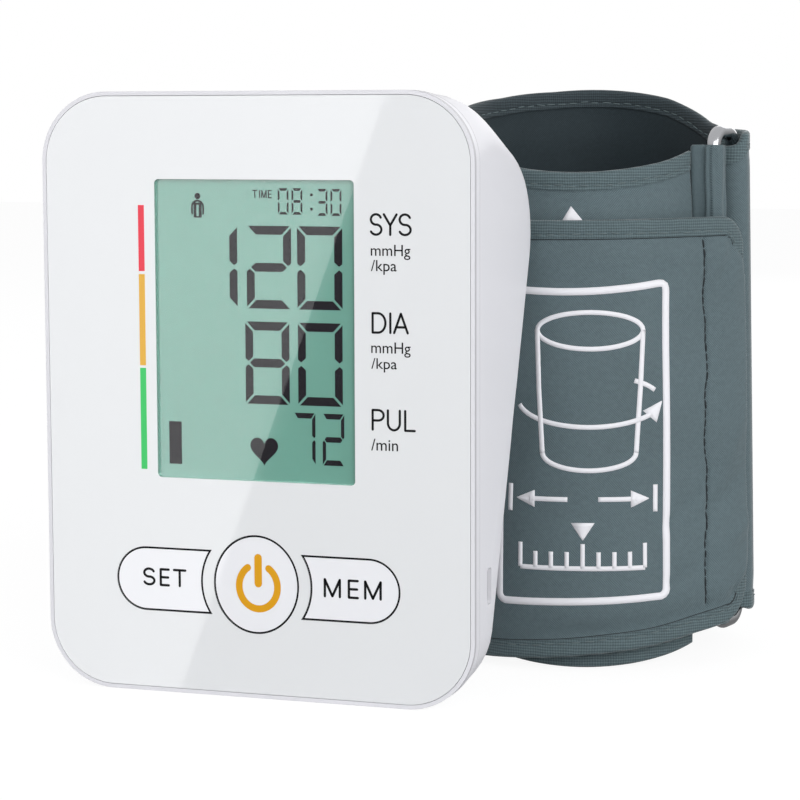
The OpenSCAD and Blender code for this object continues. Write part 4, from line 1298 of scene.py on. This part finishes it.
def diagramStrokes(form):
    # a rolled tube with a wrap arrow, a double arrow and a scale, in a frame
    left, right = (float(along(strap, angle)) for angle in form["turns"])
    edge, tube, wrap, scale, arrows = (form[k] for k in ("frame", "tube", "wrap", "scale", "arrows"))
    middle = (left + right) / 2 + tube["shift"]
    centre = middle - tube["shift"]
    strokes = []

    def draw(line, width=form["line"], closed=False):
        strokes.append((line, width, closed))

    def warped(x, z):
        # the frame rises to its right and sags between its sides
        share = (x - left) / (right - left)
        return x, z + edge["rise"] * share - edge["sag"] * math.sin(math.pi * share)

    box = roundedBox(left, right, edge["low"], edge["top"], edge["corner"], 8)
    draw([warped(x, z) for x, z in evenPoints(box, 1.0)], edge["line"], True)
    draw(arc(middle, tube["top"], tube["wide"], tube["rim"], 0, 354, 44), closed=True)
    for sign in (-1, 1):
        x, (waist, foot) = middle + sign * tube["wide"], tube["taper"]
        draw([(x, tube["top"]), (x - sign * waist, tube["waist"]), (x - sign * foot, tube["low"])])
    draw(arc(middle, tube["low"], tube["wide"] - tube["taper"][1], tube["foot"], 180, 360, 26))
    front = arc(middle, wrap["z"], wrap["wide"], wrap["high"], *wrap["front"])
    draw(front)
    draw(*arrowHead((front[-1][0] + wrap["tip"][0], front[-1][1] + wrap["tip"][1]), wrap["turn"], wrap["head"]))
    draw(arc(middle, wrap["z"], wrap["wide"], wrap["high"], *wrap["back"]))
    start, end, low = left + scale["inset"], right - scale["inset"], scale["low"]
    draw([(start, low), (end, low)])
    for i in range(scale["ticks"] + 1):
        x = start + (end - start) * i / scale["ticks"]
        draw([(x, low), (x, low + (scale["short"] if i % 4 else scale["long"]))], scale["line"])
    draw([(centre, z) for z in form["pointer"]["heights"]], form["pointer"]["widths"])
    for sign in (-1, 1):
        draw([(centre + sign * arrows["start"], arrows["z"]), (centre + sign * arrows["end"], arrows["z"])])
        draw(*arrowHead((centre + sign * arrows["tip"], arrows["z"]), 0 if sign > 0 else 180, arrows["head"]))
        draw([(centre + sign * arrows["stop"], z) for z in arrows["stopHeights"]])
    return strokes


edgeMark = {"angle": 6.5, "heights": (110.3, 107.2), "length": 5.5, "widths": [5.2, 0.3]}
printRibbons("placingDiagram", strap, diagramStrokes(diagram), inks["white"])
markStart = float(along(band, edgeMark["angle"]))
markLine = list(zip((markStart, markStart - edgeMark["length"]), edgeMark["heights"]))
printRibbons("edgeMark", band, [(markLine, edgeMark["widths"], False)], inks["white"])
print("the cuff's print is on")


# ring sleeve, patches and bladder
ringLean = math.atan(2 * cuffShape["flare"] * math.hypot(*(np.add(ringBars["one"], ringBars["two"]) / 2))
                     / cuffShape["high"])
sleeve = {
    "low": 8.6, "top": 127, "out": 2.9, "in": 1.9,
    "tab": (68, 33.2), "reach": 5.7, "tabTurn": 0.27,  # where it is sewn to the band, and how far it reaches
    "crush": 0.34, "pleat": 0.36, "pleatTurn": (0.75, 0.4),
    "edge": 0.8, "roundOut": 0.55, "roundIn": 0.5,
}


def addSleeve():
    # cloth loop round one bar of the ring, gathered where it is sewn to the band
    centre = np.array(ringBars["one"])
    tab = polar(*sleeve["tab"]) - centre
    tabTurn = math.atan2(tab[1], tab[0])
    turns = np.linspace(-math.pi, math.pi, 73)[:-1]
    low, top, ends = sleeve["low"], sleeve["top"], np.array([0, 0.15, 0.5, 1.0])
    levels = np.concatenate([low + ends, np.linspace(low + 2, top - 2, 66), top - ends[::-1]])
    points, flat = [], []
    for layer in (0, 1):
        for level in levels:
            near = min(level - low, top - level)
            rim = math.sqrt(1 - (1 - min(near / sleeve["edge"], 1)) ** 2)
            for turn in turns:
                off = (turn - tabTurn + math.pi) % (2 * math.pi) - math.pi
                sewn = math.exp(-(off / sleeve["tabTurn"]) ** 2)
                out = sleeve["out"] + (sleeve["reach"] - sleeve["out"]) * sewn
                if layer == 0:
                    pleatAt, pleatWide = sleeve["pleatTurn"]
                    gather = math.exp(-((abs(off) - pleatAt) / pleatWide) ** 2)
                    crush = noise.noise(Vector((turn * 2.2, level / 9, 4))) * sleeve["crush"]
                    waver = 3.2 * noise.noise(Vector((1, level / 12, 9)))
                    pleat = math.sin(off * 11 + waver) * sleeve["pleat"] * gather
                    wide = out + (crush + pleat) * rim - (1 - rim) * sleeve["roundOut"]
                else:
                    wide = sleeve["in"] + (1 - rim) * sleeve["roundIn"]
                x, y = centre + wide * np.array([math.cos(turn), math.sin(turn)])
                points.append(leaned(x, y, level))
                flat.append((wide * turn, level))
    n, m = len(levels), len(turns)
    faces = []
    for layer in (0, 1):
        for i in range(n - 1):
            for j in range(m):
                k = (j + 1) % m
                base = layer * n * m
                quad = [base + i * m + j, base + i * m + k, base + (i + 1) * m + k, base + (i + 1) * m + j]
                faces.append(quad if layer == 0 else quad[::-1])
    for i in (0, n - 1):
        for j in range(m):
            k = (j + 1) % m
            quad = [i * m + j, i * m + k, n * m + i * m + k, n * m + i * m + j]
            faces.append(quad[::-1] if i == 0 else quad)
    piece = addPiece("ringSleeve", points, faces, materials["cuff_cloth"], "cuff", "cuff_cloth")
    layout = piece.data.uv_layers.new(name="cloth")
    for loop in piece.data.loops:
        layout.data[loop.index].uv = [c * mm for c in flat[loop.vertex_index]]
    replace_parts(piece, "ring_sleeve")


def leaned(x, y, z):
    # the ring and its sleeve lean with the flare of the roll
    half = cuffShape["high"] / 2
    dz = z - half
    return (cuffShape["x"] + x - dz * math.sin(ringLean), faceY + cuffShape["depth"] + y,
            half + dz * math.cos(ringLean))


addSleeve()


def addPad(name, node, slot, strip, turns, gap, low, top, half, grain, filled=False):
    # a thin pad between the turns, with a rough face; filled pads keep low and top as distances from the edges
    places = along(strip, np.array(turns, float))
    s = np.linspace(min(places), max(places), max(int(np.ptp(places) / 1.0), 4))
    lows = np.interp(s, strip["s"], strip["low"]) + low if filled else np.full(len(s), float(low))
    tops = np.interp(s, strip["s"], strip["top"]) - top if filled else np.full(len(s), float(top))
    count = 70
    share = np.linspace(0, 1, count)
    z = lows[:, None] + (tops - lows)[:, None] * share
    grid = np.repeat(s[:, None], count, 1)
    away = np.minimum(np.minimum(grid - s[0], s[-1] - grid), np.minimum(z - lows[:, None], tops[:, None] - z))
    rim = np.sqrt(1 - (1 - np.clip(away / 2.0, 0, 1)) ** 2) * 0.85 + 0.15
    bumps = grain * cloudAt(grid * 3, z * 3, 4, 1)
    points = []
    for side in (1, -1):
        points += list(onStrip(strip, grid, z, gap + side * (half * rim + bumps * rim)).reshape(-1, 3))
    n, m = grid.shape

    def at(i, j, k):
        return k * n * m + i * m + j

    flip = strip["flip"]
    faces = [quad for _, quad in sheetQuads(n, m, at, flip)]
    ring = [(i, 0) for i in range(n)] + [(n - 1, j) for j in range(1, m)]
    ring += [(i, m - 1) for i in range(n - 2, -1, -1)] + [(0, j) for j in range(m - 2, 0, -1)]
    for a, b in zip(ring, ring[1:] + ring[:1]):
        quad = [at(*a, 0), at(*a, 1), at(*b, 1), at(*b, 0)]
        faces.append(quad if not flip else quad[::-1])
    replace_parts(addPiece(name, points, faces, materials[slot], "cuff", slot), node)


addPad("loopPatch", "loop_patch", "loop_cloth", band, (-20, 50), 2.8, 22, 92, 0.22, 0.03)
addPad("hookPatch", "hook_patch", "hook_tape", strap, (350, 400), -1.3, 30, 84, 0.22, 0.03)
addPad("airBladder", "air_bladder", "bladder_film", band, (-149, 43), 0, 10, 10, 1.15, 0.02, filled=True)
print("sleeve, patches and bladder are in place")
